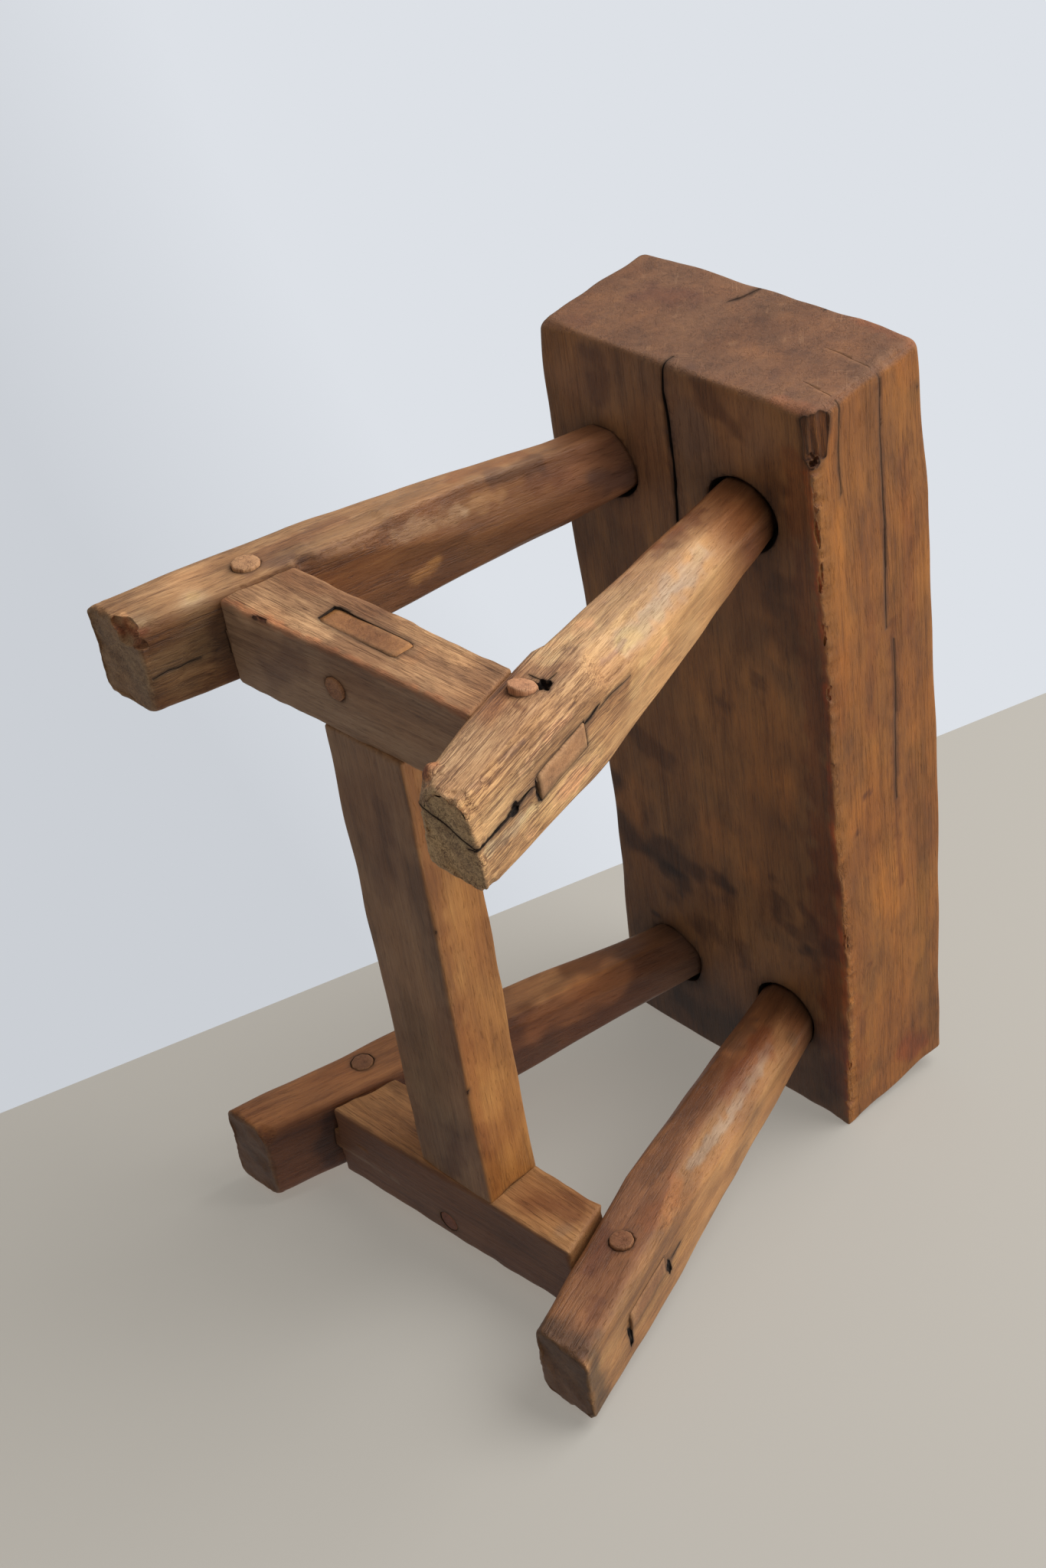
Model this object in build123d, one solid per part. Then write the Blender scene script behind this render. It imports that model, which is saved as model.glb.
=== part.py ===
from build123d import *
import math
import os

# Low stool with a beam for a seat, four splayed legs and an H of pegged rails. Millimetres.
# +X runs along the seat, +Z from the feet up to the seat's top, and the feet stand on z = 0.

os.makedirs("parts", exist_ok=True)

# Shared by every joint
joint_clearance = 0.15      # gap on each side of a tenon or peg in its hole
cut_overrun = 20.0          # how far a cutting shape runs past what it cuts
arris = 1.5                 # worn edge on the legs, rails and stretcher

# Seat block
seat_length = 520.0
seat_width = 192.0
seat_thickness = 92.0
seat_height = 380.0         # floor to the seat's top
seat_crook = 5.0            # how far the beam bows towards +Y at mid-length
seat_edge_wear = 3.0

# Legs, by their centre lines
entry_end_inset = 76.0      # from the seat's end to where a leg meets its underside
entry_side_inset = 51.0
foot_end_splay = 7.0        # how far a foot stands out past that place, along the seat
front_side_splay = 76.0     # and across it, for the pair at +X
back_side_splay = 89.5      # the other pair stands wider
leg_width = 54.0            # along the seat
leg_depth = 40.0            # across the seat
leg_square_height = 110.0   # the leg stays square up to here
leg_neck = 40.0             # across the flats where the leg enters the seat
foot_wear = 2.5

# Round tenons at the top of the legs, and their blind sockets
leg_tenon_diameter = 38.0
leg_tenon_length = 56.0     # along the leg, from the seat's underside
socket_end_gap = 1.0        # between the tenon's end and the bottom of the socket
mouth_gap = 2.0             # the socket's mouth stands this far off the neck's corners
mouth_depth = 14.0

# End rails, tenoned through the legs
rail_width = 54.0           # along the seat, level with the legs' faces
rail_height = 41.0
rail_floor_gap = 47.0       # floor to the rail's lower face
rail_tenon_thickness = 14.0

# Centre stretcher, tenoned through the end rails
stretcher_width = 58.0
stretcher_height = 37.5
stretcher_tenon_width = 56.0
stretcher_tenon_thickness = 13.0

# Pegs
peg_diameter = 14.0
peg_proud = 2.0             # how far a peg stands out of the wood at each end
peg_wear = 1.0
leg_peg_rise = 8.0          # above the middle of the rail
stretcher_peg_shift = 12.0  # off the middle of the tenon, towards -Y

# Worked out from the sizes above
seat_underside = seat_height - seat_thickness
entry_x = seat_length / 2 - entry_end_inset
entry_y = seat_width / 2 - entry_side_inset
foot_x = entry_x + foot_end_splay
outer_reach = entry_y + max(front_side_splay, back_side_splay) + leg_depth + cut_overrun
neck_corner_radius = leg_neck / 2 / math.cos(math.pi / 8)
tenon_radius = leg_tenon_diameter / 2
socket_radius = tenon_radius + joint_clearance
mouth_radius = neck_corner_radius + mouth_gap
mouth_slope = (mouth_radius - socket_radius) / mouth_depth
neck_run_in = (mouth_gap - joint_clearance) / mouth_slope
rail_middle = rail_floor_gap + rail_height / 2
rail_x = foot_x + (entry_x - foot_x) * rail_middle / seat_underside
peg_height = rail_middle + leg_peg_rise
peg_radius = peg_diameter / 2
peg_hole_radius = peg_radius + joint_clearance

ends = {"front": 1, "back": -1}     # +X and -X end of the seat
sides = {"left": 1, "right": -1}    # +Y and -Y side


def on_leg(end, side, height):
    """The point on a leg's centre line at a height above the floor."""
    below_seat = 1 - height / seat_underside
    side_splay = front_side_splay if end == ends["front"] else back_side_splay
    x = entry_x + foot_end_splay * below_seat
    y = entry_y + side_splay * below_seat
    return Vector(end * x, side * y, height)


def leg_plane(end, side):
    """A plane square to the leg, at its foot, with two of the leg's faces along global Y."""
    foot = on_leg(end, side, 0)
    up = (on_leg(end, side, seat_underside) - foot).normalized()
    across = Vector(0, 1, 0).cross(up)
    return Plane(origin=foot, x_dir=across, z_dir=up)


def leg_run(end, side, height):
    """Length along the leg's centre line up to a height above the floor."""
    return (on_leg(end, side, height) - on_leg(end, side, 0)).length


def leg_section(width, depth, corner, run):
    """The leg's outline at a distance along its centre line, a rectangle with cut corners."""
    outline = chamfer(Rectangle(width, depth).vertices(), corner)
    return Plane.XY.offset(run) * outline


def tenon_rod(end, side, radius, length):
    """A rod along the leg's centre line, from the seat's underside into the seat."""
    start = leg_run(end, side, seat_underside)
    base = Align.CENTER, Align.CENTER, Align.MIN
    return leg_plane(end, side) * Pos(0, 0, start) * Cylinder(radius, length, align=base)


def leg_stock(end, side):
    """A leg with its shape and tenon, before the mortise and the peg hole."""
    neck = leg_run(end, side, seat_underside) + neck_run_in
    neck_corner = leg_neck * (1 - math.sqrt(0.5))
    square_run = leg_run(end, side, leg_square_height)
    body = loft([
        leg_section(leg_width, leg_depth, arris, -cut_overrun),
        leg_section(leg_width, leg_depth, arris, square_run),
        leg_section(leg_neck, leg_neck, neck_corner, neck),
    ], ruled=True)
    leg = leg_plane(end, side) * body + tenon_rod(end, side, tenon_radius, leg_tenon_length)
    leg = split(leg, bisect_by=Plane.XY, keep=Keep.TOP)
    sole = leg.faces().sort_by(Axis.Z)[0]
    return chamfer(sole.edges(), foot_wear)


def leg_peg_rod(end, side, radius, length):
    """A rod along X through the leg and the rail's tenon."""
    return Pos(*on_leg(end, side, peg_height)) * Rot(0, 90, 0) * Cylinder(radius, length)


def stretcher_peg_rod(end, radius, length):
    """An upright rod through the rail and the stretcher's tenon."""
    return Pos(end * rail_x, -stretcher_peg_shift, rail_middle) * Cylinder(radius, length)


def rail_bar(thickness, height):
    """A bar along Y, long enough to run through both legs of a pair."""
    return Box(thickness, 2 * outer_reach, height)


def stretcher_bar(width, height):
    """A bar along X, long enough to run through both end rails."""
    length = 2 * (foot_x + rail_width + cut_overrun)
    return Box(length, width, height)


def seat():
    half_length = seat_length / 2
    half_width = seat_width / 2
    near = ThreePointArc(
        (-half_length, half_width), (0, half_width + seat_crook), (half_length, half_width)
    )
    far = ThreePointArc(
        (half_length, -half_width), (0, seat_crook - half_width), (-half_length, -half_width)
    )
    right = Line(near @ 1, far @ 0)
    left = Line(far @ 1, near @ 0)
    outline = make_face([near, right, far, left])
    block = Pos(0, 0, seat_underside) * extrude(outline, seat_thickness)
    block = fillet(block.edges(), seat_edge_wear)
    for end in ends.values():
        for side in sides.values():
            reach = mouth_radius + cut_overrun
            mouth = Cone(
                mouth_radius + mouth_slope * reach, socket_radius, reach + mouth_depth,
                align=(Align.CENTER, Align.CENTER, Align.MIN),
            )
            start = leg_run(end, side, seat_underside) - reach
            block -= leg_plane(end, side) * Pos(0, 0, start) * mouth
            block -= tenon_rod(end, side, socket_radius, leg_tenon_length + socket_end_gap)
    return block


def leg(end, side):
    slot_height = rail_height + 2 * joint_clearance
    slot_thickness = rail_tenon_thickness + 2 * joint_clearance
    mortise = Pos(end * rail_x, 0, rail_middle) * rail_bar(slot_thickness, slot_height)
    hole = leg_peg_rod(end, side, peg_hole_radius, leg_width + cut_overrun)
    return leg_stock(end, side) - mortise - hole


def past_shoulder(end, side):
    """All that lies outward of the leg's inner face, where the rail's shoulder stops."""
    block = Box(outer_reach, outer_reach, 2 * seat_underside)
    return leg_plane(end, side) * Pos(0, side * (outer_reach - leg_depth) / 2, 0) * block


def rail(end):
    place = Pos(end * rail_x, 0, rail_middle)
    bar = rail_bar(rail_width, rail_height)
    bar = chamfer(bar.edges().filter_by(Axis.Y), arris)
    body = place * bar
    tenon = place * rail_bar(rail_tenon_thickness, rail_height)
    for side in sides.values():
        body = body - past_shoulder(end, side) + (tenon & leg_stock(end, side))
    mortise = place * stretcher_bar(
        stretcher_tenon_width + 2 * joint_clearance,
        stretcher_tenon_thickness + 2 * joint_clearance,
    )
    body -= mortise
    for side in sides.values():
        body -= leg_peg_rod(end, side, peg_hole_radius, rail_width + cut_overrun)
    return body - stretcher_peg_rod(end, peg_hole_radius, rail_height + cut_overrun)


def stretcher():
    between = 2 * (rail_x - rail_width / 2)
    over_all = 2 * (rail_x + rail_width / 2)
    bar = Box(between, stretcher_width, stretcher_height)
    bar = chamfer(bar.edges().filter_by(Axis.X), arris)
    body = Pos(0, 0, rail_floor_gap + stretcher_height / 2) * bar
    tenon = Box(over_all, stretcher_tenon_width, stretcher_tenon_thickness)
    body += Pos(0, 0, rail_middle) * tenon
    for end in ends.values():
        body -= stretcher_peg_rod(end, peg_hole_radius, stretcher_height + cut_overrun)
    return body


def worn_peg(rod):
    return chamfer(rod.edges().filter_by(GeomType.CIRCLE), peg_wear)


def leg_peg(end, side):
    return worn_peg(leg_peg_rod(end, side, peg_radius, leg_width + 2 * peg_proud))


def stretcher_peg(end):
    return worn_peg(stretcher_peg_rod(end, peg_radius, rail_height + 2 * peg_proud))


pieces = {"seat": seat(), "stretcher": stretcher()}
for end_name, end in ends.items():
    pieces[f"{end_name}_rail"] = rail(end)
    pieces[f"{end_name}_stretcher_peg"] = stretcher_peg(end)
    for side_name, side in sides.items():
        corner = f"{end_name}_{side_name}"
        pieces[f"{corner}_leg"] = leg(end, side)
        pieces[f"{corner}_leg_peg"] = leg_peg(end, side)

for name, piece in pieces.items():
    export_step(piece, f"parts/{name}.step")
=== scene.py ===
# %% [markdown]
# # A rustic beam stool
#
# The stool is a thick hewn beam on four splayed legs, joined by an H of rails with pegged tenons.
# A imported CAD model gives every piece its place. Here each plain solid gets a worn twin: hewn
# faces, rubbed edges, splits and chips, and old waxed wood that is drawn with nodes alone.

# %% Load the frame
from functools import partial

import bmesh
import bpy
import numpy as np
from mathutils import Matrix, Vector, kdtree, noise
from mathutils.bvhtree import BVHTree


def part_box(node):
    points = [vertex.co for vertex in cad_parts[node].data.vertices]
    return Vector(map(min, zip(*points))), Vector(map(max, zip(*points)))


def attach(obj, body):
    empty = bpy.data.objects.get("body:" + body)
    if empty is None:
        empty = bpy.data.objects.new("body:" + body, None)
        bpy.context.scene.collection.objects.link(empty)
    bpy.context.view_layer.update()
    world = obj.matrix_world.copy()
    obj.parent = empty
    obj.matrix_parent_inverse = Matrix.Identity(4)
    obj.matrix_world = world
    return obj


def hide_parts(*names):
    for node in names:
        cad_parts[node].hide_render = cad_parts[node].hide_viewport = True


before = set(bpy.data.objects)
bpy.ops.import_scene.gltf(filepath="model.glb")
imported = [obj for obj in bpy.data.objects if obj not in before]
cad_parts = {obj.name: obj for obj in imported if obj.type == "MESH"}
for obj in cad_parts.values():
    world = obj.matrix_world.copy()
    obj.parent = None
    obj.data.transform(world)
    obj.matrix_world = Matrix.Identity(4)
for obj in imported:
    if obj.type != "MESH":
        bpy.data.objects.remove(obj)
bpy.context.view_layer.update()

# %% [markdown]
# ## Camera
#
# The photograph looks up at the underside of the stool, which stands on one end of its seat.
# The camera's place and turn come from matching the seat's corners to those in the picture, so
# they are three directions and a point. A matrix takes them as they are, and keeps the roll that
# a Track To constraint would lose.

# %% Set the camera
scene = bpy.context.scene
scene.view_settings.view_transform = "Standard"
picture_height = 2048
focal_pixels = 3208.55
camera_place = Vector((0.8998, 0.7947, -0.5211))
camera_right = Vector((-0.12664, 0.71172, 0.69096))
camera_down = Vector((-0.77131, 0.36734, -0.51974))
camera_ahead = Vector((-0.62373, -0.59877, 0.50244))
lens = bpy.data.cameras.new("picture_camera")
lens.sensor_fit = "VERTICAL"
lens.sensor_height = 36.0
lens.lens = lens.sensor_height * focal_pixels / picture_height
camera = bpy.data.objects.new("picture_camera", lens)
turn = Matrix((camera_right, -camera_down, -camera_ahead)).transposed()
camera.matrix_world = Matrix.Translation(camera_place) @ turn.to_4x4()
scene.collection.objects.link(camera)
scene.camera = camera
print("lens of", round(lens.lens, 1), "mm")

# %% [markdown]
# ## Nodes
#
# Each material is a tree of nodes. Adding a node, setting it up and linking its inputs takes a
# line each, so one helper does all three. An input takes a plain value or another node's output.

# %% Helpers for nodes


def feed(tree, node, inputs):
    """Gives inputs, by name or number, plain values or links them to other nodes' outputs."""
    for key, value in inputs.items():
        if isinstance(value, bpy.types.NodeSocket):
            tree.links.new(value, node.inputs[key])
        else:
            node.inputs[key].default_value = value
    return node


def add_node(tree, kind, inputs, **settings):
    """Adds a shader node of a kind, applies its settings and feeds its inputs."""
    node = tree.nodes.new(f"ShaderNode{kind}")
    for setting, value in settings.items():
        setattr(node, setting, value)
    return feed(tree, node, inputs)


def new_material(name):
    """A material, its node tree and its surface shader."""
    material = bpy.data.materials.new(name)
    material.use_nodes = True
    return material, material.node_tree, material.node_tree.nodes["Principled BSDF"]


def srgb(red, green, blue):
    """A screen colour from 0 to 255, as the linear colour that shaders use."""
    shares = (channel / 255 for channel in (red, green, blue))
    return (*(s / 12.92 if s <= 0.04045 else ((s + 0.055) / 1.055) ** 2.4 for s in shares), 1.0)


# %% [markdown]
# ## Floor and ground
#
# The stool is stored on its feet, on a pale floor that shows from above. In the picture it leans
# on its end, so a second plain ground lies under the lower feet and the seat's lower corner.
# Each is one flat face that shows from its front and is clear from its back, so neither hides
# the stool from the other side, and neither throws light or shade on it.

# %% Make the floor and the ground


def one_sided(name, colour, glow=0.45):
    """A matt face, clear from its back. Its glow stands for light that shade would get outdoors."""
    material, tree, matt = new_material(name)
    feed(tree, matt, {"Base Color": (*(share * (1 - glow) for share in colour[:3]), 1),
                      "Emission Color": colour, "Emission Strength": glow, "Roughness": 0.9})
    side = add_node(tree, "NewGeometry", {}).outputs["Backfacing"]
    clear = add_node(tree, "BsdfTransparent", {}).outputs["BSDF"]
    choice = add_node(tree, "MixShader", {"Fac": side, 1: matt.outputs["BSDF"], 2: clear})
    feed(tree, tree.nodes["Material Output"], {"Surface": choice.outputs["Shader"]})
    return material


def backdrop(name, place, facing, upward, reach, colour):
    """A square face whose top edge is centred on a point, with a facing and an upward side."""
    bm = bmesh.new()
    bmesh.ops.create_grid(bm, x_segments=1, y_segments=1, size=reach)
    bmesh.ops.translate(bm, vec=(0, -reach, 0), verts=bm.verts)
    facing = Vector(facing).normalized()
    upward = (Vector(upward) - Vector(upward).project(facing)).normalized()
    turn = Matrix((upward.cross(facing), upward, facing)).transposed().to_4x4()
    bmesh.ops.transform(bm, matrix=Matrix.Translation(place) @ turn, verts=bm.verts)
    mesh = bpy.data.meshes.new(name)
    bm.to_mesh(mesh)
    bm.free()
    mesh.materials.append(one_sided(name, colour))
    sheet = bpy.data.objects.new(name, mesh)
    for ray in ("diffuse", "glossy", "transmission", "shadow"):
        setattr(sheet, f"visible_{ray}", False)
    scene.collection.objects.link(sheet)
    return sheet


backdrop("floor", (0, 3, 0), (0, 0, 1), (0, 1, 0), 3.0, srgb(214, 211, 206))
backdrop("ground", (-0.2694, -0.2159, 0.3661), (0.990, 0.0, 0.1376), (-0.0304, -0.975, 0.2188),
         3.0, srgb(192, 187, 178))
print("floor and ground are in place")

# %% [markdown]
# ## Light
#
# A courtyard in open shade lights the real stool: soft and bright from above the leaning stool,
# which is along the seat, and weaker from its sides. A pale even world does the filling, and two
# large lamps give the broad sheen on the waxed legs. The strengths are set so that a face turned
# to the first lamp shows its own colour. The camera alone sees a pale wall in place of the world.

# %% Light the stool
scene.world = bpy.data.worlds.new("open_shade")
scene.world.use_nodes = True
sky = scene.world.node_tree
direction = add_node(sky, "TexCoord", {}).outputs["Generated"]
rise = add_node(sky, "SeparateXYZ", {"Vector": direction}).outputs["Z"]
brighter_up = add_node(sky, "MapRange", {"Value": rise, "From Min": -1, "From Max": 1,
                                         "To Min": 0.22, "To Max": 0.42})
fill = feed(sky, sky.nodes["Background"], {"Color": (1.0, 0.98, 0.95, 1),
                                           "Strength": brighter_up.outputs["Result"]})
wall_rise = add_node(sky, "MapRange", {"Value": rise, "From Min": 0.42, "From Max": 0.53})
wall = add_node(sky, "Mix", {"Factor": wall_rise.outputs["Result"], "A": srgb(203, 207, 213),
                             "B": srgb(221, 225, 231)}, data_type="RGBA")
seen = add_node(sky, "Background", {"Color": wall.outputs["Result"]})
camera_ray = add_node(sky, "LightPath", {}).outputs["Is Camera Ray"]
choice = add_node(sky, "MixShader", {"Fac": camera_ray, 1: fill.outputs["Background"],
                                     2: seen.outputs["Background"]})
feed(sky, sky.nodes["World Output"], {"Surface": choice.outputs["Shader"]})
stool_middle = Vector((0, 0, 0.19))


def soft_lamp(name, direction, distance, width, brightness):
    """An area lamp that lights a face turned to it at about this share of its own colour."""
    lamp = bpy.data.lights.new(name, "AREA")
    lamp.size = width
    lamp.energy = brightness * (np.pi * distance) ** 2
    place = Vector(direction).normalized() * distance
    holder = bpy.data.objects.new(name, lamp)
    turn_to_stool = (-place).to_track_quat("-Z", "Y").to_matrix().to_4x4()
    holder.matrix_world = Matrix.Translation(place + stool_middle) @ turn_to_stool
    scene.collection.objects.link(holder)


soft_lamp("main_lamp", (0.75, 0.35, 0.55), 2.5, 2.2, 1.0)
soft_lamp("side_lamp", (-0.2, 0.9, 0.3), 2.5, 1.6, 0.36)
print("two lamps and a world are set")

# %% [markdown]
# ## The old wood
#
# Every piece is the same open-grained hardwood, darkened by dirt and rubbed by hands. On the
# real wood the grain shows as growth rings, fine fibres, dark pores and broad streaks, all long
# in one direction. Noise that is squeezed along the grain draws them. The direction differs from
# leg to leg, so each mesh carries its own grain coordinates in an attribute, with x along the
# grain in millimetres, and one recipe serves every piece. Three more attributes paint it: tint
# for broad colour, painted highlights and painted shade; grime and shade for dirt in the joints
# and painted shade around the sockets and the legs' tops; wear for rubbed edges. Two more say how
# the wood has aged: dry where it is bare and its fibres stand out, sawn where old scratches cross
# it.

# %% Write the wood recipe


def wood(name, dark, middle, light, ring_width, contrast, gloss, clouds=0.55, mottle=0.25):
    """Old waxed hardwood, with tones from dark to light and growth rings of a width in mm."""
    material, tree, surface = new_material(name)

    def add(kind, inputs, **settings):
        return add_node(tree, kind, inputs, **settings).outputs

    def maths(operation, first, second):
        return add("Math", {0: first, 1: second}, operation=operation)[0]

    plus, minus, times, larger = (partial(maths, operation) for operation in
                                  ("ADD", "SUBTRACT", "MULTIPLY", "MAXIMUM"))

    def painted(attribute, output="Fac"):
        return add("Attribute", {}, attribute_name=attribute)[output]

    def speckle(along, scale, detail, rough=0.5, move=(0, 0, 0)):
        """Noise squeezed along the grain."""
        return add("TexNoise", {"Vector": squeezed(along, move), "Scale": scale,
                                "Detail": detail, "Roughness": rough})["Fac"]

    def squeezed(along, move):
        return add("Mapping", {"Vector": painted("grain", "Vector"), "Scale": (along, 1, 1),
                               "Location": move})["Vector"]

    def window(value, low, high):
        return add("MapRange", {"Value": value, "From Min": low, "From Max": high},
                   interpolation_type="SMOOTHSTEP")["Result"]

    def near_middle(value, reach):
        """Draws the line where a noise crosses its middle value."""
        gap = maths("ABSOLUTE", minus(value, 0.5), 0.0)
        return minus(1.0, window(gap, 0.15 * reach, reach))

    def scored(turn, length, spacing):
        """Straight fine lines across the end of a beam, of a length and spacing in mm."""
        place = add("Mapping", {"Vector": painted("grain", "Vector"), "Rotation": (turn, 0, 0),
                                "Scale": (length, length, spacing)}, vector_type="TEXTURE")
        lines = add("TexNoise", {"Vector": place["Vector"], "Scale": 1.0, "Detail": 1.0})
        return times(near_middle(lines["Fac"], 0.02),
                     window(speckle(1.0, 0.06, 2, 0.5, (turn, 8, 8)), 0.54, 0.64))

    ring = add("TexWave", {"Vector": squeezed(0.03, (0, 40, 25)), "Detail": 3.0,
                           "Scale": np.pi / 10 / ring_width, "Distortion": 11.0,
                           "Detail Scale": 1.6}, wave_type="RINGS", rings_direction="X")["Fac"]
    fibre = speckle(0.055, 1.5, 5, 0.78)
    grain = speckle(0.05, 0.45, 4, 0.62, (3, 1, 6))
    streak = speckle(0.05, 0.13, 4, 0.6, (5, 9, 3))
    blotch = speckle(0.4, 0.035, 5, 0.65, (1, 4, 8))
    cloud = speckle(0.3, 0.085, 4, 0.62, (7, 5, 2))
    pores = window(speckle(0.09, 1.1, 3, 0.6, (2, 7, 5)), 0.60, 0.68)
    warmth = window(speckle(0.5, 0.025, 3, 0.55, (9, 3, 4)), 0.38, 0.64)
    dry, sawn = painted("dry"), painted("sawn")
    checks = times(near_middle(speckle(0.018, 0.28, 3, 0.55, (8, 2, 1)), 0.034),
                   window(speckle(0.07, 0.09, 2, 0.5, (4, 4, 9)), 0.42, 0.54))
    short_checks = times(near_middle(speckle(0.05, 0.8, 3, 0.6, (1, 3, 7)), 0.03),
                         window(speckle(0.15, 0.2, 2, 0.5, (9, 1, 4)), 0.50, 0.62))
    checks = larger(times(checks, plus(0.12, dry)), times(short_checks, dry))

    # how much each layer darkens or lightens the wood, and how much more where dry or sawn
    depth = 0.5
    for layer, share, dry_share, sawn_share in (
            (ring, 0.05 * contrast, 0.0, 0.0), (fibre, 0.24 * contrast, 1.8 * contrast, 0.0),
            (grain, 0.22 * contrast, 0.6 * contrast, 0.0),
            (streak, 0.26 * contrast, 0.2 * contrast, 0.0),
            (blotch, clouds, 0.0, -0.3 * clouds), (cloud, mottle, 0.0, -0.4 * mottle)):
        weight = plus(plus(share, times(dry, dry_share)), times(sawn, sawn_share))
        depth = plus(depth, times(minus(layer, 0.5), weight))
    tones = add_node(tree, "ValToRGB", {"Fac": depth})
    ramp = tones.color_ramp.elements
    ramp[0].position, ramp[0].color = 0.22, dark
    ramp[1].position, ramp[1].color = 0.80, light
    ramp.new(0.5).color = middle

    scratches = times(larger(scored(0.5, 170, 6.0), scored(-0.9, 130, 9.0)), sawn)
    rubbed = times(painted("wear"), plus(0.25, fibre))
    # dirt, with painted shade around the sockets and the legs' tops, mixed towards dark brown
    grimy_and_shaded = times(painted("grime_and_shade"), plus(0.45, streak))
    colour = tones.outputs["Color"]
    for kind, share, other in (
            ("MULTIPLY", 1.0, painted("tint", "Color")),
            ("MULTIPLY", times(warmth, 0.55), (1.0, 0.86, 0.72, 1)),
            ("MULTIPLY", times(pores, plus(0.3, times(dry, 0.4))), (0.45, 0.36, 0.30, 1)),
            ("MULTIPLY", times(checks, 0.8), (0.30, 0.22, 0.18, 1)),
            ("SCREEN", times(scratches, 0.20), srgb(176, 132, 96)),
            ("SCREEN", times(rubbed, 0.35), srgb(150, 112, 74)),
            ("MIX", grimy_and_shaded, srgb(38, 27, 21))):
        colour = add("Mix", {"Factor": share, "A": colour, "B": other},
                     data_type="RGBA", blend_type=kind)["Result"]

    shine = plus(plus(gloss - 0.12, times(fibre, 0.24)), times(grimy_and_shaded, 0.3))
    shine = plus(shine, times(dry, 0.22))
    height = plus(times(fibre, plus(0.6, dry)), times(grain, 0.8))
    height = minus(minus(height, times(pores, 0.7)), times(checks, 1.6))
    relief = add("Bump", {"Strength": 0.6, "Distance": 0.0009, "Height": height})
    feed(tree, surface, {"Base Color": colour, "Roughness": shine, "Specular IOR Level": 0.45,
                         "Normal": relief["Normal"]})
    return material


# %% [markdown]
# ## Four finishes, and three for splits
#
# The beam is the darkest, the rails are the palest, and the legs are rubbed to a sheen. The peg
# ends are redder. Freshly torn wood is dull brown, a crack is darker, and inside a split or a
# socket the wood is painted nearly black as shade. One recipe gives all seven, so only tones are
# set.

# %% Mix the finishes
# dark, middle and light tones, ring width, contrast and gloss; the beam adds clouds and mottling
seat_wood = wood("seat_wood", srgb(84, 54, 36), srgb(142, 101, 69), srgb(176, 126, 80),
                 9.0, 0.5, 0.46, 0.62, 0.50)
leg_wood = wood("leg_wood", srgb(112, 76, 50), srgb(170, 127, 88), srgb(202, 160, 116),
                6.0, 1.0, 0.38)
rail_wood = wood("rail_wood", srgb(112, 78, 52), srgb(168, 124, 86), srgb(198, 154, 110),
                 5.0, 1.1, 0.48)
peg_wood = wood("peg_wood", srgb(122, 78, 52), srgb(170, 122, 86), srgb(196, 148, 106),
                4.0, 0.8, 0.45)
crack_wood = wood("crack_wood", srgb(34, 22, 15), srgb(58, 37, 24), srgb(84, 56, 37),
                  4.0, 0.8, 0.7)
# near black: painted shade on the walls of splits, sockets, slots, mortises and peg holes
recess_shade_wood = wood("recess_shade_wood", srgb(14, 10, 8), srgb(28, 20, 16), srgb(50, 36, 27), 4.0, 0.8, 0.8)
torn_wood = wood("torn_wood", srgb(44, 28, 19), srgb(92, 60, 40), srgb(134, 92, 58), 4.0, 1.7, 0.7)
print("seven finishes are mixed")

# %% [markdown]
# ## Worn blocks
#
# Every beam here starts as one cube whose faces are cut into a fine grid, with more rows towards
# its edges. Subdividing a cube keeps it closed, and the fine grid lets the next steps shape it
# like clay: round an edge by a radius that changes along it, bow it, and ripple its faces.
# A Bevel modifier would give every edge one even radius, which no hand-hewn beam has.

# %% Helpers for blocks


def grid_block(cells):
    """A cube from -1 to 1, its faces cut into a number of cells along each axis."""
    bm = bmesh.new()
    bmesh.ops.create_cube(bm, size=2)
    for axis, count in enumerate(cells):
        cut_across(bm, axis, count)
    return bm


def grid_rod(around, rows):
    """A rod of radius 1 from z -1 to 1, its side cut into rows."""
    bm = bmesh.new()
    bmesh.ops.create_cone(bm, cap_ends=True, segments=around, radius1=1, radius2=1, depth=2)
    cut_across(bm, 2, rows)
    return bm


def cut_across(bm, axis, count):
    """Cuts the edges that run the whole way along an axis into a number of cells."""
    along = [e for e in bm.edges if abs(e.verts[0].co[axis] - e.verts[1].co[axis]) > 1]
    bmesh.ops.subdivide_edges(bm, edges=along, cuts=count - 1, use_grid_fill=True)


def points_of(bm):
    return np.array([v.co for v in bm.verts])


def columns(*parts):
    """Joins x, y and z into points. Each is an array or one number for all."""
    return np.stack(np.broadcast_arrays(*parts), 1)


def ring_points(turn, radius, height=0):
    return columns(np.cos(turn) * radius, np.sin(turn) * radius, height)


def unit(share):
    return np.clip(share, 0, 1)


def ease(share):
    return share * share * (3 - 2 * share)


def crowd(points, share=0.5):
    """Moves rows of a -1 to 1 block towards its edges."""
    return (1 - share) * points + share * np.sin(np.pi / 2 * points)


def ripple(points, size, seed, stretch=(1, 1, 1)):
    """Smooth noise from about -1 to 1 at each point, with lumps of a size in mm."""
    spots = points / (np.array(stretch) * size) + 7.3 * seed
    return 1.6 * np.array([noise.noise(spot) for spot in spots])


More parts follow.
